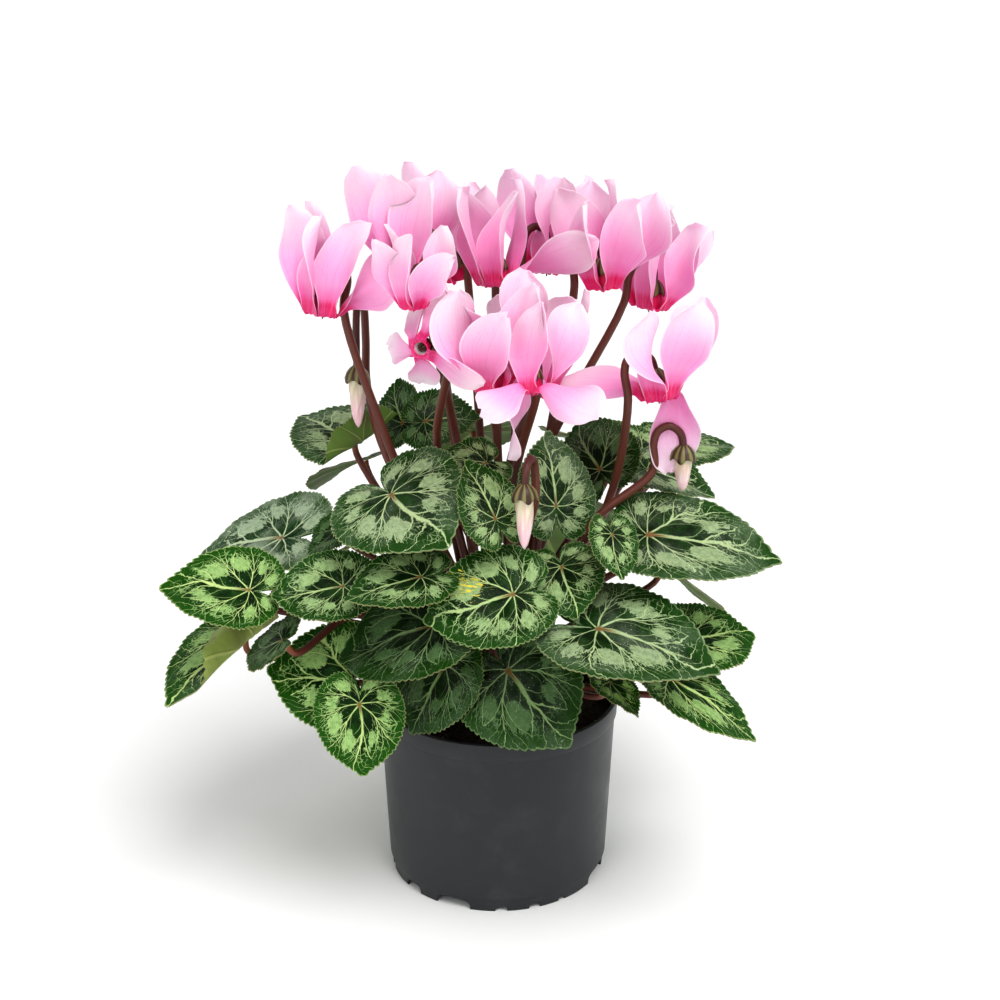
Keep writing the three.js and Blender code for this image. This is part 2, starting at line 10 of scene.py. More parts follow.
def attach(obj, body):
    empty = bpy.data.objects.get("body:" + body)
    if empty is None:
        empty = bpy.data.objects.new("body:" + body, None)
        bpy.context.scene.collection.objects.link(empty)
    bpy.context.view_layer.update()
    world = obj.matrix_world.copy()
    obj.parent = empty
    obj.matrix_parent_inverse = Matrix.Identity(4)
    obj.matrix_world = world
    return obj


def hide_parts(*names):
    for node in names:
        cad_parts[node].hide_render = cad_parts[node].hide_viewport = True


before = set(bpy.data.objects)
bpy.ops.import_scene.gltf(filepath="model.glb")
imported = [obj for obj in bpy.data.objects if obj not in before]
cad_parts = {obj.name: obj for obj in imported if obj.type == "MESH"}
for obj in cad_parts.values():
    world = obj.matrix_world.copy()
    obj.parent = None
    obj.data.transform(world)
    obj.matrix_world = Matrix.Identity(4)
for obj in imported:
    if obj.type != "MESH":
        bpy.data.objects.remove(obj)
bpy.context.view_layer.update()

# Pot: a florist's nursery pot of thin dark grey plastic, vacuum formed in one piece. It has a rim
# band to stack by, a low foot ring, and scalloped drain openings melted through its bottom edge.

mm = 0.001
weld_distance = 0.0005 * mm
pot_height = 94
rim_radius = 60
rim_height = 9
rim_proud = 0.8
foot_radius = 54
foot_height = 7
foot_inset = 0.9
pot_wall = 1.3
ring_wall = 1.8
hollow_height = 5.4
floor_thickness = 2
floor_top = hollow_height + floor_thickness
pot_turns = 160
pot_crease = 40
# Drain openings: bearing from the front, width and height.
drain_openings = [
    (-78, 6, 3), (-51, 11, 4), (-24, 18, 5), (2, 6, 3), (20, 6, 3), (36, 4, 2), (68, 20, 5),
    (98, 6, 3), (124, 18, 5), (150, 6, 3), (174, 10, 4), (202, 18, 5), (232, 6, 3), (258, 6, 3),
]
drain_sides = 28
drain_squareness = 0.6
drain_ends = (foot_radius - 6, foot_radius + 2)
pot_grey = (0.013, 0.015, 0.018)
pot_grey_worn = (0.023, 0.025, 0.030)


class Pattern:
    """A number or place that varies over a surface. Sums with it become nodes of its finish."""

    def __init__(self, skin, socket):
        self.skin = skin
        self.socket = socket

    def math(self, how, *others):
        return self.skin.node("Math", self, *others, operation=how)

    __add__ = partialmethod(math, "ADD")
    __sub__ = partialmethod(math, "SUBTRACT")
    __mul__ = partialmethod(math, "MULTIPLY")
    __truediv__ = partialmethod(math, "DIVIDE")
    __abs__ = partialmethod(math, "ABSOLUTE")

    def ease(self, low, high, start=0, end=1):
        """Goes smoothly from start to end while the number goes from low to high."""
        values = (self, low, high, start, end)
        return self.skin.node("MapRange", *values, interpolation_type="SMOOTHSTEP")


class Finish:
    """A material on one plain shader, its colours laid one over another."""

    def __init__(self, name, ground):
        self.material = bpy.data.materials.new(name)
        self.material.use_nodes = True
        self.nodes = self.material.node_tree.nodes
        self.shader = self.nodes["Principled BSDF"]
        self.colour = ground

    def plug(self, value, socket):
        if isinstance(value, Pattern):
            self.material.node_tree.links.new(value.socket, socket)
        elif socket.type == "RGBA":
            socket.default_value = (*value, 1)
        else:
            socket.default_value = value

    def node(self, kind, *values, out=0, **given):
        """Makes a node. Names in small letters are its settings, and the others its sockets."""
        made = self.nodes.new("ShaderNode" + kind)
        for name, value in given.items():
            if name.islower():
                setattr(made, name, value)
            else:
                self.plug(value, made.inputs[name])
        for value, socket in zip(values, made.inputs):
            self.plug(value, socket)
        return Pattern(self, made.outputs[out])

    def map(self, name):
        return self.node("UVMap", uv_map=name)

    def part(self, place, axis):
        return self.node("SeparateXYZ", place, out=axis)

    def grain(self, scale, detail=2, rough=0.5, where=None, stretch=None, out=0):
        """Cloudy noise in the piece's own space, or along a map, which may be stretched."""
        where = where or self.node("TexCoord", out=3)
        if stretch:
            where = self.node("Mapping", Vector=where, Scale=(*stretch, 1))
        values = {"Vector": where, "Scale": scale, "Detail": detail, "Roughness": rough}
        return self.node("TexNoise", out=out, **values)

    def blend(self, under, over, share):
        made = self.nodes.new("ShaderNodeMix")
        made.data_type = "RGBA"
        for spot, value in ((0, share), (6, under), (7, over)):
            self.plug(value, made.inputs[spot])
        return Pattern(self, made.outputs[2])

    def lay(self, over, share):
        self.colour = self.blend(self.colour, over, share)

    def relief(self, height, depth, strength=1):
        bump = self.node("Bump", Height=height, Distance=depth, Strength=strength)
        self.plug(bump, self.shader.inputs["Normal"])

    def done(self, **values):
        for name, value in {"Base_Color": self.colour, **values}.items():
            self.plug(value, self.shader.inputs[name.replace("_", " ")])
        return self.material


def put_in_scene(name, data):
    made = bpy.data.objects.new(name, data)
    bpy.context.scene.collection.objects.link(made)
    return made


def spin(turns):
    """Even steps round a circle."""
    return [2 * pi * i / turns for i in range(turns)]


def round_spot(radius, angle, height):
    return Vector((radius * cos(angle), radius * sin(angle), height))


class Form:
    """Points and faces of one piece as they are built up, with maps and a finish for each face."""

    def __init__(self, *maps):
        self.points = []
        self.faces = []
        self.skin_of = []
        self.maps = {name: [] for name in maps}

    def add(self, spots):
        """Takes points in millimetres and gives back their numbers."""
        start = len(self.points)
        self.points.extend(spot * mm for spot in spots)
        return list(range(start, len(self.points)))

    def face(self, corners, skin=0, **maps):
        self.faces.append(corners)
        self.skin_of.append(skin)
        for name, places in maps.items():
            self.maps[name].extend(places)

    def wrap(self, steps, turns, spot, skin=0, levels=None, shift=0, down=False, capped=False):
        """Rings of points, by their step along and angle round, joined by a skin up or down."""
        rings = [self.add(spot(step, angle) for angle in spin(turns)) for step in steps]
        levels = levels or [row / len(rings) for row in range(len(rings))]
        order = ((0, 0), (0, 1), (1, 1), (1, 0)) if down else ((0, 0), (1, 0), (1, 1), (0, 1))
        for row in range(len(rings) - 1):
            for i in range(turns):
                corners = [rings[row + up][(i + on) % turns] for on, up in order]
                places = [((i + on) / turns + shift, levels[row + up]) for on, up in order]
                self.face(corners, skin, **{name: places for name in self.maps})
        if capped:
            ends = (rings[0], rings[-1][::-1]) if down else (rings[0][::-1], rings[-1])
            for ring, level in zip(ends, (levels[0], levels[-1])):
                self.face(ring, skin, **{name: [(shift, level)] * turns for name in self.maps})

    def turned(self, profile, turns, skin=0, place=Matrix()):
        """A form turned from a profile of (radius, height), with both its ends on the axis."""

        def spot(step, angle):
            return place @ round_spot(step[0], angle, step[1])

        self.wrap(profile, turns, spot, skin)

    def solid(self, name):
        mesh = bpy.data.meshes.new(name)
        mesh.from_pydata(self.points, [], self.faces)
        return put_in_scene(name, mesh)

    def piece(self, name, finishes, node, sharp=None, which=None):
        """The finished piece, with points in one place welded, in the place of a node."""
        if which:
            name, node = f"{name}_{which:02d}", f"{node}_{which:02d}"
        made = self.solid(name)
        mesh = made.data
        for map_name, places in self.maps.items():
            layer = mesh.uv_layers.new(name=map_name)
            layer.data.foreach_set("uv", [number for place in places for number in place])
        for skin in finishes:
            mesh.materials.append(skin)
        mesh.polygons.foreach_set("material_index", self.skin_of)
        mesh.polygons.foreach_set("use_smooth", [True] * len(self.faces))
        joined = bmesh.new()
        joined.from_mesh(mesh)
        bmesh.ops.remove_doubles(joined, verts=joined.verts, dist=weld_distance)
        joined.to_mesh(mesh)
        joined.free()
        if sharp:
            mesh.set_sharp_from_angle(angle=radians(sharp))
        mesh.update()
        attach(made, "root")
        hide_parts(node)
        return made


def pot_inner_radius(height):
    foot = foot_radius + foot_inset - pot_wall
    top = rim_radius - rim_proud - pot_wall
    return foot + (top - foot) * height / pot_height


def pot_outer_radius(height):
    return pot_inner_radius(height) + pot_wall


# The wall cut through: the hollow and foot ring, the outside, the rim, and the inside.
seam = pot_height - rim_height
ring_inside = foot_radius - ring_wall
at_seam = pot_outer_radius(seam)
at_top = pot_inner_radius(pot_height)
pot_profile = [
    (0, hollow_height), (foot_radius - 10, hollow_height), (ring_inside - 1, hollow_height),
    (ring_inside, hollow_height - 0.8), (ring_inside + 0.2, 0.3), (ring_inside + 0.6, 0),
    (foot_radius - 0.5, 0), (foot_radius - 0.1, 0.3), (foot_radius, 1),
    (foot_radius, foot_height - 0.6), (foot_radius + 0.2, foot_height),
    (pot_outer_radius(foot_height), foot_height + 0.5),
    (pot_outer_radius(30), 30), (pot_outer_radius(60), 60),
    (at_seam, seam - 0.5), (at_seam + 0.3, seam - 0.3),
    (rim_radius - 0.5, seam - 0.1), (rim_radius - 0.3, seam + 0.3),
    (rim_radius, pot_height - 1), (rim_radius - 0.2, pot_height - 0.3),
    (rim_radius - 0.7, pot_height), (at_top + 0.3, pot_height), (at_top, pot_height - 0.4),
    (pot_inner_radius(seam), seam), (pot_inner_radius(floor_top + 1), floor_top + 1),
    (pot_inner_radius(floor_top) - 1, floor_top), (0, floor_top),
]


def squared(part):
    """Pushes a circle's corners out, towards a rounded square."""
    return copysign(abs(part) ** drain_squareness, part)


# Short flat rods, laid like spokes through the foot ring, cut the openings.
form = Form()
for bearing, wide, high in drain_openings:
    turn = Matrix.Rotation(radians(bearing - 90), 4, "Z")

    def rod_spot(reach, angle):
        return turn @ Vector((reach, wide / 2 * squared(cos(angle)), high * squared(sin(angle))))

    form.wrap(drain_ends, drain_sides, rod_spot, capped=True)
cutter = form.solid("drain_cutters")

skin = Finish("pot_plastic", pot_grey)
scuff = skin.grain(60, 5, 0.6)
skin.lay(pot_grey_worn, scuff.ease(0.45, 0.75))
skin.relief(skin.grain(1800) * 0.5 + scuff * 0.6, 0.0002, 0.35)
plastic = skin.done(Roughness=scuff.ease(0.2, 0.8, 0.33, 0.48), Specular_IOR_Level=0.5)

form = Form()
form.turned(pot_profile, pot_turns)
pot = form.piece("nursery_pot", [plastic], "pot")
cut = pot.modifiers.new("drain_openings", "BOOLEAN")
cut.operation = "DIFFERENCE"
cut.solver = "EXACT"
cut.object = cutter
bpy.context.view_layer.update()
cut_pot = pot.evaluated_get(bpy.context.evaluated_depsgraph_get())
cut_mesh = bpy.data.meshes.new_from_object(cut_pot)
pot.modifiers.clear()
pot.data = cut_mesh
pot.data.set_sharp_from_angle(angle=radians(pot_crease))
bpy.data.objects.remove(cutter)

# Soil: damp black peat with a little perlite, tipped in loose and firmed by hand, so its top lies
# in low lumps. The crumbs on it are the coarser peat and the white grains.

soil_top = 83
soil_bottom = floor_top + 0.3
soil_gap = 0.5
soil_reach = pot_inner_radius(soil_top) - soil_gap
soil_lump = 1.6
soil_crumb = 0.9
soil_turns = 120
soil_rings = 34
crumb_count = 420
crumb_size = (0.5, 1.6)
crumb_side = (0.4, 0.75)
crumb_faces = ((0, 2, 3, 1), (4, 5, 7, 6), (0, 1, 5, 4), (2, 6, 7, 3), (0, 4, 6, 2), (1, 3, 7, 5))
perlite_share = 0.08
peat_dark = (0.012, 0.007, 0.004)
peat_brown = (0.045, 0.024, 0.013)
perlite_grey = (0.35, 0.33, 0.3)
perlite_white = (0.62, 0.60, 0.55)


def soil_height(x, y):
    lumps = sin(x * 0.31 + 1) * cos(y * 0.27) + 0.6 * sin(x * 0.13 - y * 0.37)
    crumbs = noise.fractal(Vector((x, y, 0)) * 0.25, 0.9, 2.1, 4)
    return soil_top + soil_lump * lumps + soil_crumb * crumbs


skin = Finish("damp_peat", peat_dark)
clods = skin.grain(420, 6, 0.7)
skin.lay(peat_brown, clods.ease(0.35, 0.7))
skin.relief(skin.grain(1500, 3) * 0.4 + clods, 0.0012)
peat = skin.done(Roughness=0.92)

skin = Finish("perlite", perlite_grey)
pits = skin.grain(2200, 4)
skin.lay(perlite_white, pits.ease(0.3, 0.6))
skin.relief(pits, 0.0004)
perlite = skin.done(Roughness=0.85)


def soil_spot(step, angle):
    spot = round_spot(step[0], angle, step[1])
    if step[1] == soil_top:
        spot.z = soil_height(spot.x, spot.y)
    return spot


# The top from its middle outwards, then the side and the bottom.
soil_steps = [(soil_reach * ring / soil_rings, soil_top) for ring in range(soil_rings + 1)]
soil_steps += [(pot_inner_radius(z) - soil_gap, z) for z in (soil_top / 2, soil_bottom)]
form = Form()
form.wrap([*soil_steps, (0, soil_bottom)], soil_turns, soil_spot, down=True)
form.piece("soil_surface", [peat], "soil")

# Small lumps with eight corners each, pressed halfway into the soil.
luck = random.Random(12)
form = Form()
for _ in range(crumb_count):
    reach = (pot_inner_radius(soil_top) - 3) * sqrt(luck.random())
    centre = round_spot(reach, luck.uniform(0, 2 * pi), 0)
    size = luck.uniform(*crumb_size)
    centre.z = soil_height(centre.x, centre.y) + 0.2 * size
    turn = Matrix.Rotation(luck.uniform(0, 3), 3, "Z") @ Matrix.Rotation(luck.uniform(0, 3), 3, "X")
    white = luck.random() < perlite_share
    spots = []
    for corner in range(8):
        side = [luck.uniform(*crumb_side) * size * (1 if corner >> k & 1 else -1) for k in range(3)]
        spots.append(centre + turn @ Vector(side))
    corners = form.add(spots)
    for quad in crumb_faces:
        form.face([corners[k] for k in quad], int(white))
form.piece("soil_crumbs", [peat, perlite], "soil")

# Corm: the flattened round tuber that the whole plant grows from, half sunk in the peat. Its skin
# is brown cork, rough and finely cracked.

corm_radius = 25
corm_half_height = 18
corm_middle = 78
corm_swell = 0.03
corm_turns = 64
corm_rows = 30
corm_brown = (0.070, 0.036, 0.020)
corm_grey = (0.16, 0.11, 0.075)

skin = Finish("corm_cork", corm_brown)
cracks = skin.node("TexVoronoi", feature="DISTANCE_TO_EDGE", Scale=320)
patches = skin.grain(160, 5)
skin.lay(corm_grey, patches.ease(0.35, 0.7))
skin.relief(cracks.ease(0, 0.15) + patches, 0.0008)
cork = skin.done(Roughness=0.8)


def corm_spot(slope, angle):
    way = round_spot(sin(slope), angle, cos(slope))
    swell = 1 + corm_swell * noise.fractal(way * 2.5, 0.9, 2.0, 4)
    place = way * Vector((corm_radius, corm_radius, corm_half_height))
    return place * swell + Vector((0, 0, corm_middle))


form = Form()
form.wrap([pi * row / corm_rows for row in range(corm_rows + 1)], corm_turns, corm_spot, down=True)
form.piece("corm", [cork], "corm_and_stalks")

# Leaf stalks: one round fleshy stalk to each blade, grown from the top of the corm. They are red
# brown and paler towards the root, arch outward and meet the blade's underside square on.

# Each leaf: joint of stalk and blade, bearing that the face looks to, how far the face leans that
# way, swing of the midrib from straight downhill, reach from joint to tip, width for its length,
# how long the lobes behind the joint are for that reach, the blade's tone, and where it is led
# past a point, that point of its stalk.
leaves = [
    ((-70, 24, 218), -100, 20, -125, 43, 1, 1, "silver"),
    ((-104, -4, 177), -140, 30, -65, 56, 0.9, 1, "frosted"),
    ((-48, -50, 216), -135, 30, 75, 46, 1.15, 1, "silver"),
    ((-114, -52, 170), -80, 30, -105, 43, 0.9, 0.8, "fresh"),
    ((-122, -22, 133), -165, 15, 30, 52, 1, 0.8, "fresh"),
    ((-98, -66, 151), -165, 40, -45, 28, 1, 0.7, "dark", (-66, -34, 150)),
    ((-70, -62, 176), -95, 30, -85, 34, 1, 1, "marbled", (-44, -36, 172)),
    ((-34, -75, 186), -95, 15, -70, 36, 1, 1, "marbled", (-26, -40, 184)),
    ((-68, -55, 127), -95, 50, -95, 42, 1.05, 0.3, "fresh"),
    ((-63, -74, 123), -100, 70, 5, 34, 1.05, 1, "fresh", (-54, -55, 126)),
    ((-29, -72, 161), -130, 35, -60, 54, 0.9, 1, "dark", (-24, -46, 166)),
    ((-24, -62, 137), -125, 65, -20, 39, 1, 1, "dark"),
    ((5, -66, 136), -110, 50, 50, 46, 1.1, 1, "dark"),
    ((7, -78, 179), -90, 40, -75, 42, 1, 1, "yellowed", (6, -42, 166)),
    ((29, -58, 184), -100, 30, 20, 28, 1.15, 1, "marbled"),
    ((-1, -68, 211), -60, 60, -170, 30, 0.9, 1, "marbled"),
    ((-5, -38, 227), -105, 20, -50, 33, 1, 0.6, "marbled"),
    ((-35, 15, 230), -110, 35, 110, 27, 1.1, 1, "dark"),
    ((-47, 40, 221), -130, 70, -150, 25, 1, 1, "dark"),
    ((27, -32, 204), -55, 70, 170, 36, 1, 1, "silver"),
    ((49, -4, 212), -120, 50, -140, 33, 1.1, 1, "dark"),
    ((45, -80, 163), -100, 15, 80, 57, 0.95, 1, "silver"),
    ((69, -44, 194), -95, 20, 90, 63, 0.8, 0.6, "silver"),
    ((51, -66, 203), -50, 50, -15, 22, 1, 1, "marbled", (42, -36, 190)),
    ((86, 52, 205), -65, 10, 90, 41, 0.95, 0.7, "marbled"),
    ((72, 2, 210), -50, 15, 40, 35, 0.95, 0.8, "silver"),
    ((91, -40, 140), -65, 25, 85, 36, 1, 1, "fresh"),
    ((80, -60, 129), -30, 25, 10, 49, 0.8, 0.75, "fresh"),
    ((52, -62, 128), -30, 30, -10, 21, 1, 1, "fresh"),
    ((-75, -30, 191), -140, 40, -30, 19, 1, 1, "dark"),
    ((71, 26, 212), -40, 30, 180, 25, 1.1, 1, "marbled"),
    ((84, 34, 146), 25, 35, 0, 50, 1, 1, "marbled"),
    ((70, 68, 158), 45, 35, 10, 58, 1, 1, "silver"),
    ((20, 92, 150), 80, 40, -10, 58, 1, 1, "marbled"),
    ((-35, 88, 156), 110, 35, 10, 54, 1, 1, "fresh"),
    ((-86, 48, 146), 150, 35, -10, 54, 1, 1, "marbled"),
    ((-112, 16, 154), 175, 30, 5, 44, 1, 1, "fresh"),
    ((45, 66, 204), 60, 25, -20, 46, 1, 1, "silver"),
    ((-12, 62, 210), 95, 30, 15, 48, 1, 1, "marbled"),
    ((-68, 58, 196), 140, 25, 0, 44, 1, 1, "silver"),
]
leaf_stalk_radius = 1.6
leaf_root_rings = (21, 16, 12)
leaf_stalk_steps = 12
root_depth = 2.5
stalk_sides = 12
stalk_brown = (0.095, 0.022, 0.014)
stalk_orange = (0.30, 0.085, 0.028)
stalk_root = (0.20, 0.075, 0.045)
stalk_dot = (0.02, 0.006, 0.005)


def turned_to(bearing, lean, swing):
    """Leans a thing over towards a bearing, after it is swung about itself."""
    turn = Matrix()
    for angle, axis in ((bearing, "Z"), (lean, "Y"), (swing, "Z")):
        turn = turn @ Matrix.Rotation(radians(angle), 4, axis)
    return turn


def corm_point(bearing, distance):
    rise = corm_half_height * sqrt(1 - (distance / corm_radius) ** 2)
    return round_spot(distance, bearing, corm_middle + rise - root_depth)


def bent_path(points, steps):
    """A smooth curve through the points, which doesn't swing wide where they crowd."""
    points = [Vector(point) for point in points]
    ends = [2 * points[0] - points[1], *points, 2 * points[-1] - points[-2]]
    path = []
    for four in zip(ends, ends[1:], ends[2:], ends[3:]):
        knots = [0]
        for a, b in zip(four, four[1:]):
            knots.append(knots[-1] + max((b - a).length, 1e-3) ** 0.5)
        for step in range(steps):
            t = knots[1] + (knots[2] - knots[1]) * step / steps
            spots = four
            for spans in (((0, 1), (1, 2), (2, 3)), ((0, 2), (1, 3)), ((1, 2),)):
                shares = [(t - knots[i]) / (knots[j] - knots[i]) for i, j in spans]
                spots = [a + (b - a) * share for a, b, share in zip(spots, spots[1:], shares)]
            path.append(spots[0])
    path.append(points[-1])
    return path


def add_stalk(form, path, thickness, shift):
    """A round stalk along a path, its pattern shifted round it."""
    across = (path[1] - path[0]).orthogonal().normalized()
    along = [i / (len(path) - 1) for i in range(len(path))]
    steps = []
    for i, place in enumerate(path):
        ahead = (path[min(i + 1, len(path) - 1)] - path[max(i - 1, 0)]).normalized()
        across = (across - ahead * across.dot(ahead)).normalized()
        radius = thickness(along[i])
        steps.append((place, across * radius, ahead.cross(across) * radius))

    def spot(step, angle):
        return step[0] + step[1] * cos(angle) + step[2] * sin(angle)

    form.wrap(steps, stalk_sides, spot, levels=along, shift=shift, capped=True)


def stalk_finish(name, middle, high):
    """Juicy stalk skin: paler at the root, streaked lengthwise and finely dotted."""
    skin = Finish(name, stalk_root)
    place = skin.map("along")
    along = skin.part(place, 1)
    streak = skin.grain(3, 4, where=place, stretch=(9, 2.5))
    dots = skin.grain(2600, 1)
    skin.lay(middle, along.ease(0, 0.3))
    skin.lay(high, along.ease(0.55, 1))
    skin.lay(stalk_orange, streak.ease(0.5, 0.85, 0, 0.55))
    skin.lay(stalk_dot, dots.ease(0.66, 0.74, 0, 0.5))
    skin.relief(streak + dots, 0.0002, 0.5)
    return skin.done(Roughness=0.42, Subsurface_Weight=0.05, Subsurface_Scale=0.002)


def leaf_stalk_thickness(share):
    """Tapers from the root, and flares again where it meets the blade."""
    return leaf_stalk_radius * (1.25 - 0.35 * share + 2.5 * max(0, share - 0.9))


form = Form("along")
for index, leaf in enumerate(leaves):
    place = Matrix.Translation(leaf[0]) @ turned_to(*leaf[1:4])
    below, end = place @ Vector((0, 0, -9)), place @ Vector((0, 0, -0.6))
    root = corm_point(atan2(end.y, end.x), leaf_root_rings[index % len(leaf_root_rings)])
    via = leaf[8:] or [(root.x * 1.6, root.y * 1.6, root.z + 0.45 * (end.z - root.z))]
    path = bent_path([root, *via, below, end], leaf_stalk_steps)
    add_stalk(form, path, leaf_stalk_thickness, 0.37 * index)
skin = stalk_finish("leaf_stalk_skin", stalk_brown, stalk_orange)
form.piece("leaf_stalks", [skin], "corm_and_stalks")

# Leaf blades: thick, leathery hearts with a fine toothed rim. Pale veins fan out from the joint,
# and a broken ring of silver green blotches lies between them, where air sits under the skin.

blade_thickness = 0.7
blade_rim_thickness = 0.35
blade_turns = 198
blade_rings = 9
blade_crowding = 0.9
blade_crease = 55
blade_tooth = 0.55
blade_wave = 1.8
blade_fold = 0.12
blade_droop = 0.0035
blade_pucker = 0.35
blade_ruffle = 0.4
vein_spacing = 48
vein_sweep = 0.25
# Edges that are turned up: the leaf, the way the turned part looks from the joint, its distance
# from the joint, the radius of the bend, and how far it is turned.
turned_edges = {1: (180, 3, 3, 115), 5: (100, 4, 6, 200)}
turned_fullness = 0.46
# Reach of the blade's edge, at an angle from its midrib.
blade_outline = [
    (0, 1.0), (4, 0.945), (8, 0.905), (14, 0.86), (22, 0.815), (35, 0.757), (60, 0.66),
    (90, 0.6), (120, 0.555), (145, 0.515), (162, 0.44), (172, 0.29), (180, 0.1),
]
# Each tone: the green of the blade, its deeper patches, the green of the edge, the blotches, the
# veins, and how much grey frost lies on it.
tones = {
    "marbled": (
        (0.011, 0.042, 0.005), (0.003, 0.013, 0.002), (0.014, 0.068, 0.005),
        (0.33, 0.47, 0.21), (0.50, 0.66, 0.29), 0.04,
    ),
    "silver": (
        (0.014, 0.049, 0.008), (0.004, 0.017, 0.003), (0.019, 0.071, 0.009),
        (0.34, 0.45, 0.24), (0.49, 0.63, 0.32), 0.2,
    ),
    "frosted": (
        (0.019, 0.061, 0.015), (0.006, 0.024, 0.006), (0.036, 0.092, 0.024),
        (0.37, 0.47, 0.31), (0.51, 0.63, 0.39), 0.65,
    ),
    "fresh": (
        (0.010, 0.052, 0.004), (0.002, 0.016, 0.001), (0.016, 0.085, 0.004),
        (0.34, 0.53, 0.19), (0.56, 0.73, 0.28), 0,
    ),
    "dark": (
        (0.008, 0.029, 0.004), (0.002, 0.009, 0.001), (0.013, 0.057, 0.004),
        (0.085, 0.155, 0.060), (0.24, 0.36, 0.15), 0.1,
    ),
}
tones["yellowed"] = tones["marbled"]
# The yellowed spot: its angle from the midrib, its share of the way out, and its size in both.
yellow_spot = (-28, 0.66, 20, 0.36)
# Side veins that fork off a main vein: the share of the way out where they start, how fast they
# spread from it in degrees, how that grows, their width and their strength.
forks = [
    (0.2, 70, 0, 0.24, 0.5), (0.36, 44, 10, 0.48, 0.95),
    (0.56, 36, 30, 0.38, 0.9), (0.74, 50, 0, 0.3, 0.8),
]
frost_grey = (0.34, 0.42, 0.30)
dust_white = (0.60, 0.68, 0.52)
dying_yellow = (0.80, 0.66, 0.07)
heart_brown = (0.17, 0.050, 0.010)
back_flush = (0.13, 0.10, 0.045)
rim_green = (0.19, 0.27, 0.09)
rim_brown = (0.27, 0.13, 0.07)


def smooth_value(pairs, position):
    """Reads a value off a list of (position, value) pairs, on a smooth line through them."""
    spot = 0
    while spot < len(pairs) - 2 and pairs[spot + 1][0] < position:
        spot += 1
    (start, low), (end, high) = pairs[spot : spot + 2]
    slopes = []
    for a, b in ((max(spot - 1, 0), spot + 1), (spot, min(spot + 2, len(pairs) - 1))):
        slopes.append((pairs[b][1] - pairs[a][1]) / (pairs[b][0] - pairs[a][0]) * (end - start))
    t = (position - start) / (end - start)
    bend = t * t * (3 - 2 * t)
    return low + (high - low) * bend + t * (1 - t) * ((1 - t) * slopes[0] - t * slopes[1])


def turn_up(spot, facing, start, radius, turned):
    """Bends the part of a blade that lies past a line up over the rest."""
    way = round_spot(1, radians(facing), 0)
    past = spot.dot(way) - start
    if past <= 0:
        return spot
    bend = min(past / radius, radians(turned))
    straight = past - bend * radius
    ahead = radius * sin(bend) + straight * cos(bend)
    up = radius * (1 - cos(bend)) + straight * sin(bend)
    return spot + way * (ahead - past) + Vector((0, 0, up))


def blade_spot(leaf, index, angle, share, tooth):
    """A point of the blade's middle sheet in its own frame, at an angle from its midrib."""
    reach, width, back = leaf[4:7]
    turned = turned_edges.get(index + 1)
    outline = smooth_value(blade_outline, abs(degrees(angle)))
    if turned:
        outline = max(outline, turned_fullness)
    spread = share * outline
    radius = reach * spread + tooth
    ahead = radius * cos(angle)
    wave = blade_wave * spread * spread * sin(3 * angle + index * 1.7)
    fold = blade_fold * reach * spread * (sqrt(sin(angle) ** 2 + 0.004) - 0.06)
    droop = blade_droop * (reach * spread) ** 2 * (1 + cos(angle)) / 2
    veins = degrees(angle) * (1 + vein_sweep * share) / vein_spacing
    pucker = -blade_pucker * sin(pi * share) * cos(2 * pi * veins)
    ruffle = blade_ruffle * share**4 * sin(13 * angle + index)
    x = ahead * back if ahead < 0 else ahead
    spot = Vector((x, radius * sin(angle) * width, wave + fold - droop + pucker + ruffle))
    return turn_up(spot, *turned) if turned else spot


def make_blade(leaf, index, finishes):
    """A middle sheet with a skin on each side of it, and a narrow rim between them."""
    form = Form("turn", "place")
    luck = random.Random(index)
    place = Matrix.Translation(leaf[0]) @ turned_to(*leaf[1:4])
    turns, rings = blade_turns, blade_rings
    shares = [(ring / rings) ** blade_crowding for ring in range(rings + 1)]
    teeth = [blade_tooth * luck.uniform(0.5, 1.3) for _ in range(turns // 3)]
    middle = [blade_spot(leaf, index, 0, 0, 0)]
    for ring in range(1, rings + 1):
        for i in range(turns):
            tooth = teeth[i // 3] * (-1, 0.5, 1)[i % 3] if ring == rings else 0
            middle.append(blade_spot(leaf, index, pi * (2 * i / turns - 1), shares[ring], tooth))

    def number(ring, i):
        return 1 + (ring - 1) * turns + i % turns if ring else 0

    facing = [Vector() for _ in middle]
    quads = []
    for ring in range(rings):
        for i in range(turns):
            keys = [(ring, i), (ring + 1, i), (ring + 1, i + 1), (ring, i + 1)][: 4 if ring else 3]
            corners = [number(*key) for key in keys]
            a, b, c = (middle[corner] for corner in corners[:3])
            for corner in corners:
                facing[corner] += (b - a).cross(c - a)
            quads.append((keys, corners))
    for side in (1, -1):
        for n, spot in enumerate(middle):
            share = (n + turns - 1) // turns / rings
            half = (blade_thickness + (blade_rim_thickness - blade_thickness) * share) / 2
            form.add([place @ (spot + facing[n].normalized() * side * half)])
    under = len(middle)
    offset = 0.31 * index
    flat = [(spot.x * mm + offset, spot.y * mm + offset) for spot in middle]
    for keys, corners in quads:
        turn = [(2 * i / turns - 1, shares[ring]) for ring, i in keys]
        spots = [flat[corner] for corner in corners]
        form.face(corners, 0, turn=turn, place=spots)
        below = [corner + under for corner in reversed(corners)]
        form.face(below, 1, turn=turn[::-1], place=spots[::-1])
    for i in range(turns):
        a, b = number(rings, i), number(rings, i + 1)
        spots = [flat[a], flat[a], flat[b], flat[b]]
        form.face([a, a + under, b + under, b], 2, turn=[(0, 1)] * 4, place=spots)
    form.piece("blade", finishes, "leaf", blade_crease, index + 1)


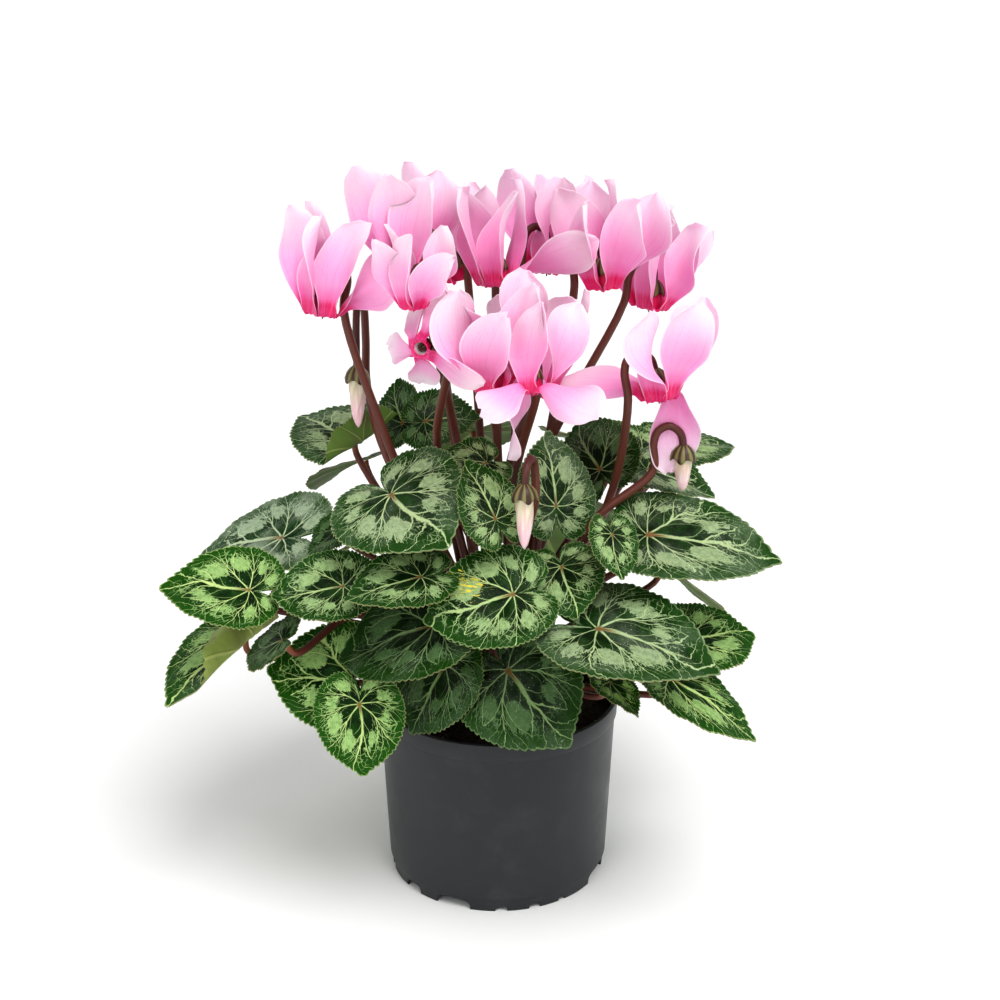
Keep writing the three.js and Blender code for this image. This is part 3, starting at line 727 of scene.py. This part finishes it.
def blade_finish(tone):
    """The face of a blade. Its map gives the angle from the midrib and the share of the way out."""
    ground, ground_deep, edge_green, blotch, vein, frost = tones[tone]
    skin = Finish("blade_" + tone, ground_deep)
    turn, place = skin.map("turn"), skin.map("place")
    share = skin.part(turn, 1)
    wander = skin.grain(75, 4, 0.6, place) - 0.5
    drift = skin.grain(26, 1, where=place) - 0.5
    angle = skin.part(turn, 0) * 180 + wander * 16 + drift * 50
    # Veins: degrees to the nearest main vein, turned into millimetres on a blade of middle size.
    nearest = (angle * (share * vein_sweep + 1)).math("PINGPONG", vein_spacing / 2)
    wide = share * radians(32)

    def line(distance, width, strength):
        return (distance / (share * (-0.65 * width) + width)).ease(1.25, 0.55) * strength

    def fork(start, spread, bend, width, strength):
        gone = (share - start).math("MAXIMUM", 0)
        aside = abs(nearest - gone * (gone * bend + spread))
        return line(aside * wide, width, strength) * share.ease(start, start + 0.04)

    midrib = abs(angle).ease(22, 8)
    veins = line(nearest / (midrib * 0.7 + 1) * wide, 0.6, 1)
    for each in forks:
        veins = veins.math("MAXIMUM", fork(*each))
    # Fine net between the veins, broken up, from halfway out.
    scatter = skin.grain(260, where=place, out=1)
    bent = skin.node("VectorMath", scatter, (0.0022, 0.0022, 0), place, operation="MULTIPLY_ADD")
    net = skin.node("TexVoronoi", feature="DISTANCE_TO_EDGE", Vector=bent, Scale=330)
    patches = skin.grain(120, 3, 0.6, place)
    net_lines = net.ease(0.075, 0.03) * patches.ease(0.46, 0.56)
    net_lines = net_lines * share.ease(0.42, 0.55, 0, 0.75) * share.ease(0.93, 0.84)
    # Blotches: a round patch halfway between two veins, with spikes that run out to the rim.
    spikes = skin.grain(1.5, 3, 0.75, turn, (38, 5))
    sizes = skin.grain(1.3, 0, where=turn, stretch=(4.7, 0.4))
    sideways_off = (nearest - vein_spacing / 2) / 14.5
    outward_off = (share - 0.6) / 0.13
    apart = (sideways_off * sideways_off + outward_off * outward_off).math("SQRT")
    ragged = (spikes - 0.5) * share.ease(0.45, 0.75, 1.8, 5.2) + apart + (patches - 0.5) * 2.4
    blotches = (sizes.ease(0.32, 0.62, 0.7, 1.42) - ragged).ease(-0.04, 0.06)
    mottle = skin.grain(420, where=place).ease(0.4, 0.65, 0, 0.3)
    skin.lay(ground, patches.ease(0.38, 0.66))
    skin.lay(edge_green, share.ease(0.62, 0.92, 0, 0.8))
    skin.lay(blotch, net_lines * 0.85)
    skin.lay(skin.blend(blotch, edge_green, mottle), blotches * 0.94)
    skin.lay(vein, veins * 0.9)
    if tone == "yellowed":
        # A spot where the leaf is dying off.
        spot_angle, spot_share, wide_by, long_by = yellow_spot
        aside = (angle - spot_angle) / wide_by
        along = (share - spot_share) / long_by
        apart = aside * aside + along * along
        skin.lay(dying_yellow, (spikes * -9 + apart).ease(-4.4, -5))
    # Frost: a grey film in cloudy patches, and white specks of dust.
    cloud = skin.grain(48, 5, 0.6, place)
    dust = cloud * 0.35 + skin.grain(1300, where=place)
    dusty = 0.86 - 0.06 * frost
    skin.lay(frost_grey, cloud.ease(0.42, 0.68, 0, frost))
    skin.lay(dust_white, dust.ease(dusty, dusty + 0.05, 0, 0.6))
    skin.lay(ground, skin.grain(1500, where=place).ease(0.4, 0.33, 0, 0.55))
    # The brown heart at the joint, drawn out along the midrib.
    heart = (wander * 0.09 + share) / abs(angle).ease(16, 4, 1, 2.6)
    skin.lay(heart_brown, heart.ease(0.085, 0.02, 0, 0.85))
    skin.lay(vein, share.ease(0.975, 0.99, 0, 0.35))
    pebbles = skin.node("TexVoronoi", Vector=place, Scale=560)
    skin.relief(pebbles * 0.4 - veins, 0.0005, 0.8)
    return skin.done(Roughness=cloud.ease(0.3, 0.7, 0.36, 0.5), Specular_IOR_Level=0.1)


def blade_back_finish(name, ground, vein):
    """The underside: yellow green and matt, with the veins standing proud."""
    skin = Finish(name, ground)
    turn, place = skin.map("turn"), skin.map("place")
    share = skin.part(turn, 1)
    angle = skin.part(turn, 0) * 180
    nearest = (angle * (share * vein_sweep + 1)).math("PINGPONG", vein_spacing / 2)
    veins = (nearest * (share * radians(40))).ease(1.4, 0.5)
    patches = skin.grain(90, 4, where=place)
    skin.lay(back_flush, patches.ease(0.35, 0.7, 0, 0.6))
    skin.lay(vein, veins * 0.7)
    skin.relief(veins + patches * 0.4, 0.0005, 0.8)
    return skin.done(Roughness=0.6)


skin = Finish("blade_rim", rim_green)
skin.lay(rim_brown, skin.grain(240, 3))
blade_rim = skin.done(Roughness=0.5)

blade_back = blade_back_finish("blade_back", (0.11, 0.22, 0.035), (0.30, 0.40, 0.11))
young_back = blade_back_finish("young_blade_back", (0.34, 0.44, 0.11), (0.52, 0.58, 0.20))
blade_faces = {tone: blade_finish(tone) for tone in tones}
for index, leaf in enumerate(leaves):
    tone = leaf[7]
    back = young_back if tone == "fresh" else blade_back
    make_blade(leaf, index, [blade_faces[tone], back, blade_rim])

# Flower stalks: thicker and straighter than the leaf stalks, dark red brown. Each rises from the
# corm among the leaves, hooks over at the top and comes down into its calyx.

# Each bloom: centre of its mouth, bearing that the mouth looks to and its tilt from straight down,
# bearing of the side where the stalk comes down, a point that the stalk passes, how far each petal
# leans out from straight up, and the size.
blooms = [
    ((-80, -10, 290), -150, 10, 52, (-52, -2, 225), (12, 14, 12, 18, 42), 1),
    ((-42, -6, 308), 170, 5, -20, (-20, -6, 225), (14, 16, 20, 12, 16), 1),
    ((-21, 45, 293), -20, 5, -60, (-8, 20, 215), (16, 14, 20, 14, 18), 1),
    ((-36, -56, 305), 60, 5, 62, (-18, -14, 225), (12, 22, 14, 32, 18), 0.72),
    ((-1, 6, 300), -80, 5, 90, (0, 12, 225), (10, 10, 15, 70, 10), 1),
    ((-33, -67, 289), -110, 88, 20, (-28, -24, 232), (), 0.62),
    ((-4, -50, 267), 90, 5, 95, (0, -12, 228), (10, 7, 20, 18, 22), 1.05),
    ((19, -11, 254), 90, 10, 80, (6, -2, 215), (18, 14, 20, 14, 18), 1),
    ((15, -64, 269), -80, 8, 75, (8, -24, 215), (), 0.84),
    ((24, 50, 296), -120, 5, -150, (8, 18, 215), (16, 14, 22, 14, 18), 1),
    ((50, 10, 298), 0, 5, 180, (24, 8, 220), (16, 20, 18, 14, 18), 1),
    ((74, 42, 280), 200, 10, 200, (24, 16, 215), (18, 14, 24, 18, 14), 1),
    ((73, -35, 257), -40, 10, 185, (52, -18, 200), (14, 12, 24, 172, 88), 1),
]
# Each bud: where its calyx ends, its length, the side where its stalk comes down, how high its
# hook rises, and a point that the stalk passes.
buds = [
    ((-67, 12, 256), 28, 75, 40, (-56, 9, 222)),
    ((12, -74, 227), 28, 70, 12, (10, -50, 190)),
    ((86, -26, 229), 20, 180, 12, (47, -30, 198)),
    ((-24, -32, 211), 20, 80, 12, (-12, -16, 180)),
]
flower_stalk_radius = 1.9
flower_stalk_steps = 7
flower_stalk_brown = (0.115, 0.028, 0.016)
flower_stalk_dark = (0.070, 0.014, 0.011)
# Distance of the root from the corm's middle: blooms by turns, and buds.
bloom_roots = (9, 4)
bud_root = 9
hook_reach = 14
hook_rise = 11
tube_height = 11
# A bloom that is tilted further than this looks sideways, and its stalk has no hook.
sideways = 60


def bloom_place(mouth, faces, tilt, stalk_side, size):
    turn = turned_to(faces, -tilt, stalk_side - faces)
    return Matrix.Translation(mouth) @ turn @ Matrix.Scale(size, 4)


def hook(calyx, rise):
    """The stalk's end above a flower as (reach, height), over the hook and down into the calyx."""
    if rise == 0:
        return [(14, calyx + 13), (5, calyx + 11), (0, calyx + 1)]
    bend = [(1, 0.3), (0.85, 0.8), (0.5, 1), (0.12, 0.7)]
    arch = [(across * hook_reach, calyx + up * rise) for across, up in bend]
    return [(hook_reach, calyx - 10), *arch, (0, calyx + 1)]


def flower_stalk_thickness(share):
    return flower_stalk_radius * (1.12 - 0.2 * share)


flower_heads = []
for index, (mouth, faces, tilt, side, via, _, size) in enumerate(blooms):
    rise = 0 if tilt > sideways else hook_rise
    place = bloom_place(mouth, faces, tilt, side, size)
    flower_heads.append((place, tube_height, rise, via, bloom_roots[index % 2]))
for top, _, side, rise, via in buds:
    flower_heads.append((bloom_place(top, side, 0, side, 1), 0, rise, via, bud_root))

form = Form("along")
for index, (place, calyx, rise, via, root_distance) in enumerate(flower_heads):
    root = corm_point(atan2(via[1], via[0]), root_distance)
    lower = (root + Vector(via)) / 2 + Vector((0, 0, 8))
    top = [place @ Vector((across, 0, height)) for across, height in hook(calyx, rise)]
    path = bent_path([root, lower, via, *top], flower_stalk_steps)
    add_stalk(form, path, flower_stalk_thickness, 0.53 * index)
skin = stalk_finish("flower_stalk_skin", flower_stalk_brown, flower_stalk_dark)
form.piece("flower_stalks", [skin], "corm_and_stalks")

# Calyxes: five pointed sepals joined in a cup at the stalk's end, olive green with brown stripes.
# They clasp the top of each flower tube and bud.

calyx_turns = 60
calyx_tip = 1.2
calyx_swell = 0.15
calyx_groove = 0.03
calyx_profile = [
    (0, 0.6), (2.6, 0.1), (4.8, -1.7), (5.6, -3.4), (6.0, -5.0), (6.3, -4.8),
    (6.1, -2.6), (5.4, -0.4), (3.9, 1.5), (2.2, 2.8), (0, 3.6),
]
sepal_brown = (0.055, 0.022, 0.014)
sepal_olive = (0.20, 0.19, 0.06)

skin = Finish("sepal_skin", sepal_brown)
place = skin.map("along")
streaks = skin.grain(1, 4, where=place, stretch=(34, 1))
ribs = (skin.part(place, 0) * 60).math("SINE") * 0.25 + streaks
skin.lay(sepal_olive, ribs.ease(0.35, 0.75))
skin.relief(ribs, 0.0003, 0.6)
sepal_skin = skin.done(Roughness=0.45)


def calyx_spot(step, angle):
    radius, height = step
    ripple = 1 - cos(5 * angle)
    lift = ripple * (calyx_tip if height < -4 else calyx_swell if height < -1 else 0)
    reach = radius * (1 - calyx_groove * ripple) if radius > 1 else radius
    return place @ round_spot(reach, angle, height + lift + calyx)


form = Form("along")
for place, calyx, *_ in flower_heads:
    form.wrap(calyx_profile, calyx_turns, calyx_spot)
form.piece("calyxes", [sepal_skin], "corm_and_stalks")

# Blooms: nodding flowers of five petals, folded back at the mouth so that they stand up like
# shuttlecocks. The petals are thin and silky, pale pink with a deep crimson band at the fold, and
# wind a little on themselves. Inside the short tube the anthers close in a cone round the style.

petal_length = 51
petal_width = 25
petal_thickness = 0.5
petal_edge_thickness = 0.25
petal_fold = 3.8
petal_root_angle = 150
petal_root = (5, 1.5)
petal_curl = [(0, 0.3), (0.08, 0.4), (0.2, 1.2), (0.35, 1.0), (0.6, 0.6), (0.85, 0.5), (1, 0.4)]
petal_rows = 40
petal_columns = 16
petal_crease = 60
petal_bearings = (58, 116, 178, 240, 306)
# Twist of a petal that stands and of one that lies down: its middle value and how it varies.
standing_twist = (92, 50)
lying_twist = (49, 23)
# Leans above which a petal counts as lying, and as hanging, and how much less that one twists.
lying_lean = 60
hanging_lean = 120
hanging_slack = 0.35
# The two sides of a petal roll up unequally, the fuller side less.
tight_roll = 1.55
loose_roll = 0.65
# Blooms whose petals are set one by one: each petal's bearing from the stalk, lean and twist.
own_petals = {
    6: ((58, 44, 8), (116, 40, -28), (176, 30, -15), (232, 30, 5), (345, 82, -15)),
    9: ((156, 96, 48), (190, 11, 25), (224, 105, -50), (300, 22, 110), (48, 168, 66)),
}
throat_turns = 40
throat_profile = [
    (0, tube_height - 3), (2.2, tube_height - 3.6), (3.2, tube_height - 5), (4.2, 3), (4.7, 0.6),
    (4.9, 0), (5.4, 0), (5.8, 0.4), (5.5, 3), (4.8, 6.5), (4.2, 9), (2.6, 10.4), (0, tube_height),
]
style_profile = [(0, -2.6), (0.35, -2.4), (0.35, 8), (0, 8)]
anther_profile = [(0, -1.2), (0.35, -1), (0.4, 1), (0.9, 1.6), (1.5, 3.5), (1.3, 7), (0, 8)]
anther_turns = 8
anther_reach = 1.5
anther_lean = 8
fold_crimson = (0.78, 0, 0.14)
# Pinks that follow the crimson, each with the shares of the petal's length where it comes in.
petal_pinks = [
    ((0.92, 0.20, 0.46), 0.15, 0.25),
    ((0.94, 0.37, 0.61), 0.2, 0.4),
    ((0.965, 0.68, 0.81), 0.4, 0.95),
]
petal_rim_pink = (0.97, 0.76, 0.86)
petal_vein_pink = (0.88, 0.18, 0.46)
petal_blush = (0.93, 0.28, 0.58)
petal_speckle = (0.86, 0.20, 0.46)
throat_white = (0.90, 0.80, 0.84)
throat_crimson = (0.72, 0.005, 0.13)
anther_dark = (0.03, 0.008, 0.010)
anther_brown = (0.13, 0.05, 0.03)


def smooth_step(value):
    value = max(0, min(1, value))
    return value * value * (3 - 2 * value)


def petal_side(share, corner, pinch):
    """Half the petal's width as a share of its widest, which lies at the corner."""
    total = 0
    for near in (-0.05, -0.025, 0, 0.025, 0.05):
        spot = max(0, min(1, share + near))
        if spot < corner:
            total += 0.3 + 0.7 * (spot / corner) ** 1.3
        else:
            total += max(0, 1 - ((spot - corner) / (1 - corner)) ** pinch) ** 0.6
    return max(total / 5, 0.05)


def petal_sheet(bearing, lean, twist, luck):
    """The petal's middle sheet as rows of points, in the bloom's own frame."""
    step = petal_length / petal_rows * luck.uniform(0.95, 1.04)
    broad = petal_width / 2 * luck.uniform(0.94, 1.1)
    fuller_side = luck.choice((-1, 1)) * luck.uniform(0.05, 0.2)
    sides = [(luck.uniform(0.45, 0.68), luck.uniform(1.9, 4.2)) for _ in range(2)]
    swirl = luck.uniform(2, 10)
    flare = luck.uniform(-6, 12)
    wave, phase = luck.uniform(1.6, 3.2), luck.uniform(0, 6)
    curl = luck.uniform(0.8, 1.25)
    rolls = (tight_roll, loose_roll) if fuller_side > 0 else (loose_roll, tight_roll)
    lean += luck.uniform(-6, 6)
    upright = min(lean, 3)
    radius, height = petal_root
    turn_to = Matrix.Rotation(radians(bearing), 3, "Z")
    rows = []
    for i in range(petal_rows + 1):
        share = i / petal_rows
        leaning = upright + (lean - upright) * smooth_step(share / 0.3) + flare * sin(pi * share)
        folded = smooth_step(i * step / petal_fold)
        angle = radians(petal_root_angle + (leaning - petal_root_angle) * folded)
        half_widths = [broad * petal_side(share, *side) for side in sides]
        turn = radians(twist) * smooth_step(share * 1.1)
        outward = Vector((cos(angle), 0, -sin(angle)))
        row = []
        for k in range(petal_columns + 1):
            side = 2 * k / petal_columns - 1
            reach = half_widths[side > 0] * (1 + fuller_side * side)
            curve = curl * rolls[side > 0] * smooth_value(petal_curl, share)
            across = reach * sin(curve * side) / curve
            hollow = reach * (1 - cos(curve * side)) / curve
            ruffle = wave * share * side * side * sin(5.5 * share + 1.2 * side + phase)
            bulge = 0.8 * sin(8 * share + 3 * side + 2 * phase) * share
            pleat = 0.3 * cos(8 * side + phase) * (1 - share)
            hollow += ruffle + bulge + pleat
            aside = across * cos(turn) - hollow * sin(turn) + swirl * share * share
            out = across * sin(turn) + hollow * cos(turn)
            row.append(turn_to @ (Vector((radius, aside, height)) + outward * out))
        rows.append(row)
        radius += step * sin(angle)
        height += step * cos(angle)
    return rows


def add_sheet(form, rows, place):
    """Gives a sheet of points two faces and a rim. Its map runs across it and along it."""
    count, width = len(rows), len(rows[0])
    start = len(form.points)
    sides = []
    for i, row in enumerate(rows):
        for k, spot in enumerate(row):
            ahead = rows[min(i + 1, count - 1)][k] - rows[max(i - 1, 0)][k]
            across = row[min(k + 1, width - 1)] - row[max(k - 1, 0)]
            edge = (2 * k / (width - 1) - 1) ** 2
            half = (petal_thickness + (petal_edge_thickness - petal_thickness) * edge) / 2
            normal = across.cross(ahead).normalized() * half
            sides.append((place @ (spot + normal), place @ (spot - normal)))
    for upper_or_lower in zip(*sides):
        form.add(upper_or_lower)

    def face(keys, lower):
        corners = [start + i * width + k + down * len(sides) for (i, k), down in zip(keys, lower)]
        form.face(corners, petal=[(k / (width - 1), i / (count - 1)) for i, k in keys])

    for i in range(count - 1):
        for k in range(width - 1):
            keys = [(i, k), (i, k + 1), (i + 1, k + 1), (i + 1, k)]
            face(keys, (0, 0, 0, 0))
            face(keys[::-1], (1, 1, 1, 1))
    loop = [(0, k) for k in range(width - 1)] + [(i, width - 1) for i in range(count - 1)]
    loop += [(count - 1 - i, width - 1 - k) for i, k in loop]
    for a, b in zip(loop, loop[1:] + loop[:1]):
        face((a, a, b, b), (0, 1, 1, 0))


# Pink petal skin: crimson at the fold, paler to the tip and rim, with fine lengthwise veins.
skin = Finish("petal_skin", fold_crimson)
place = skin.map("petal")
along = skin.part(place, 1)
fan = skin.grain(1, 4, where=place, stretch=(30, 1.2))
bleed = (fan - 0.5) * 0.09 + along
for pink, low, high in petal_pinks:
    skin.lay(pink, bleed.ease(low, high))
edge = abs(skin.part(place, 0) * 2 - 1).ease(0.92, 1)
skin.lay(petal_rim_pink, edge * along.ease(0.05, 0.2, 0, 0.6))
fading = along * -0.7 + 1
skin.lay(petal_vein_pink, fan.ease(0.48, 0.7, 0, 0.55) * fading)
skin.lay(petal_blush, skin.grain(45, 3).ease(0.4, 0.7, 0, 0.3) * fading)
skin.lay(petal_speckle, skin.grain(900, 3, 0.7).ease(0.55, 0.7, 0, 0.35) * fading)
skin.relief(fan, 0.0003, 0.5)
petal_skin = skin.done(
    Roughness=0.5, Subsurface_Weight=0.65, Subsurface_Radius=(1, 0.6, 0.8),
    Subsurface_Scale=0.002, Sheen_Weight=0.05,
)

# Inside of the tube: white deep down, crimson at the lip.
skin = Finish("flower_throat", throat_white)
depth = skin.part(skin.map("petal"), 1)
skin.lay(throat_crimson, (skin.grain(900) * 0.2 + depth).ease(0.3, 0.5))
throat_skin = skin.done(Roughness=0.5)

skin = Finish("anthers", anther_dark)
skin.lay(anther_brown, skin.grain(1600, 3))
skin.relief(skin.grain(3000), 0.0002)
anther_skin = skin.done(Roughness=0.6)

bloom_finishes = [petal_skin, throat_skin, anther_skin]
for index, (mouth, faces, tilt, side, _, leans, size) in enumerate(blooms):
    form = Form("petal")
    place = bloom_place(mouth, faces, tilt, side, size)
    form.turned(throat_profile, throat_turns, 1, place)
    luck = random.Random(40 + index)
    for k, bearing in enumerate(petal_bearings):
        if leans:
            lean = leans[k]
            usual, change = lying_twist if lean > lying_lean else standing_twist
            twist = usual + change * sin(index * 2.3 + k * 1.9)
            if lean > hanging_lean:
                twist *= hanging_slack
            bearing += luck.uniform(-9, 9)
        else:
            bearing, lean, twist = own_petals[index + 1][k]
        add_sheet(form, petal_sheet(bearing, lean, twist, luck), place)
    form.turned(style_profile, anther_turns, 2, place)
    for angle in spin(5):
        ring = Matrix.Rotation(angle, 4, "Z") @ Matrix.Translation((anther_reach, 0, 0))
        leaned = ring @ Matrix.Rotation(radians(anther_lean), 4, "Y")
        form.turned(anther_profile, anther_turns, 2, place @ leaned)
    form.piece("flower", bloom_finishes, "bloom", petal_crease, index + 1)

# Buds: closed flowers hanging from their calyx, the five petals wound round each other to a blunt
# point like a furled umbrella. They are white with a pink flush.

bud_radius = 3.9
bud_turns = 50
bud_rows = 30
bud_outline = [
    (0, 0), (0.06, 0.85), (0.25, 1), (0.45, 0.97), (0.75, 0.7), (0.93, 0.36), (1, 0),
]
bud_narrowest = 0.02
bud_winding = 2.2
bud_overlap = 0.13
bud_green = (0.62, 0.60, 0.36)
bud_pink = (0.90, 0.66, 0.70)
bud_rose = (0.90, 0.42, 0.50)
bud_white = (0.93, 0.86, 0.84)

skin = Finish("bud_skin", bud_green)
place = skin.map("petal")
streaks = skin.grain(1, 3, where=place, stretch=(22, 2))
skin.lay(bud_pink, skin.part(place, 1).ease(0.1, 0.8))
skin.lay(bud_rose, streaks.ease(0.45, 0.7, 0, 0.5))
skin.lay(bud_white, streaks.ease(0.5, 0.3, 0, 0.6))
skin.relief(streaks, 0.0003)
bud_skin = skin.done(Roughness=0.5, Subsurface_Weight=0.2, Subsurface_Scale=0.002)


def bud_spot(share, angle):
    radius = bud_radius * max(smooth_value(bud_outline, share), bud_narrowest)
    wound = 5 * (angle + bud_winding * share) / (2 * pi) % 1
    furl = 1 + bud_overlap * (wound - 0.5) * min(1, 4 * share)
    return place @ round_spot(radius * furl, angle, -length * share)


shares = [row / bud_rows for row in range(bud_rows + 1)]
for index, (top, length, side, *_) in enumerate(buds):
    form = Form("petal")
    place = bloom_place(top, side, 0, side, 1)
    form.wrap(shares, bud_turns, bud_spot, levels=shares, down=True, capped=True)
    form.piece("closed_bud", [bud_skin], "bud", which=index + 1)

# Studio: a plain white sheet under the plant, even light from all round, a soft broad key from high
# on the right, and the camera in front, looking down a little.

camera_place = (0.0012, -0.830, 0.499)
camera_pitch = 69.9
camera_lens = 66.06
camera_sensor = 36
horizon_strength = 0.95
overhead_strength = 0.5
overhead_from = 0.45
# Each light: its kind, its place, the way it shines, and its settings.
lights = {
    "high_key": ("SUN", (0.5, -0.7, 1.4), (-0.35, 0.5, -1), {"energy": 1.85, "angle": radians(35)}),
    "front_fill": ("AREA", (-0.5, -1.1, 0.8), (0.5, 1.1, -0.6), {"energy": 3, "size": 0.7}),
}
sheet_half = 14
sheet_white = (0.93, 0.93, 0.93)
sheet_shade = (0.90, 0.90, 0.90)

skin = Finish("studio_sheet", sheet_shade)
skin.lay(sheet_white, skin.grain(3))
sheet_paper = skin.done(Roughness=0.9)

sheet_mesh = bpy.data.meshes.new("studio_sheet")
sheet_sides = ((-1, -1), (1, -1), (1, 1), (-1, 1))
sheet_corners = [(x * sheet_half, y * sheet_half, 0) for x, y in sheet_sides]
sheet_mesh.from_pydata(sheet_corners, [], [(0, 1, 2, 3)])
sheet_mesh.materials.append(sheet_paper)
put_in_scene("studio_sheet", sheet_mesh)
for name, (kind, place, way, settings) in lights.items():
    light = bpy.data.lights.new(name, kind)
    for key, value in settings.items():
        setattr(light, key, value)
    lamp = put_in_scene(name, light)
    lamp.location = place
    lamp.rotation_euler = Vector(way).to_track_quat("-Z", "Y").to_euler()

world = bpy.data.worlds.new("studio_air")
world.use_nodes = True
air = world.node_tree.nodes
way_out = air.new("ShaderNodeTexCoord")
way_up = air.new("ShaderNodeSeparateXYZ")
fade = air.new("ShaderNodeMapRange")
for socket, value in zip(fade.inputs[1:], (0, overhead_from, horizon_strength, overhead_strength)):
    socket.default_value = value
world.node_tree.links.new(way_out.outputs["Generated"], way_up.inputs[0])
world.node_tree.links.new(way_up.outputs["Z"], fade.inputs[0])
world.node_tree.links.new(fade.outputs[0], air["Background"].inputs["Strength"])
air["Background"].inputs["Color"].default_value = (1, 1, 1, 1)
bpy.context.scene.world = world
bpy.context.scene.view_settings.view_transform = "Standard"
bpy.context.scene.view_settings.look = "Medium High Contrast"

camera_data = bpy.data.cameras.new("camera")
camera_data.lens = camera_lens
camera_data.sensor_width = camera_sensor
camera = put_in_scene("camera", camera_data)
camera.location = camera_place
camera.rotation_euler = (radians(camera_pitch), 0, 0)
bpy.context.scene.camera = camera
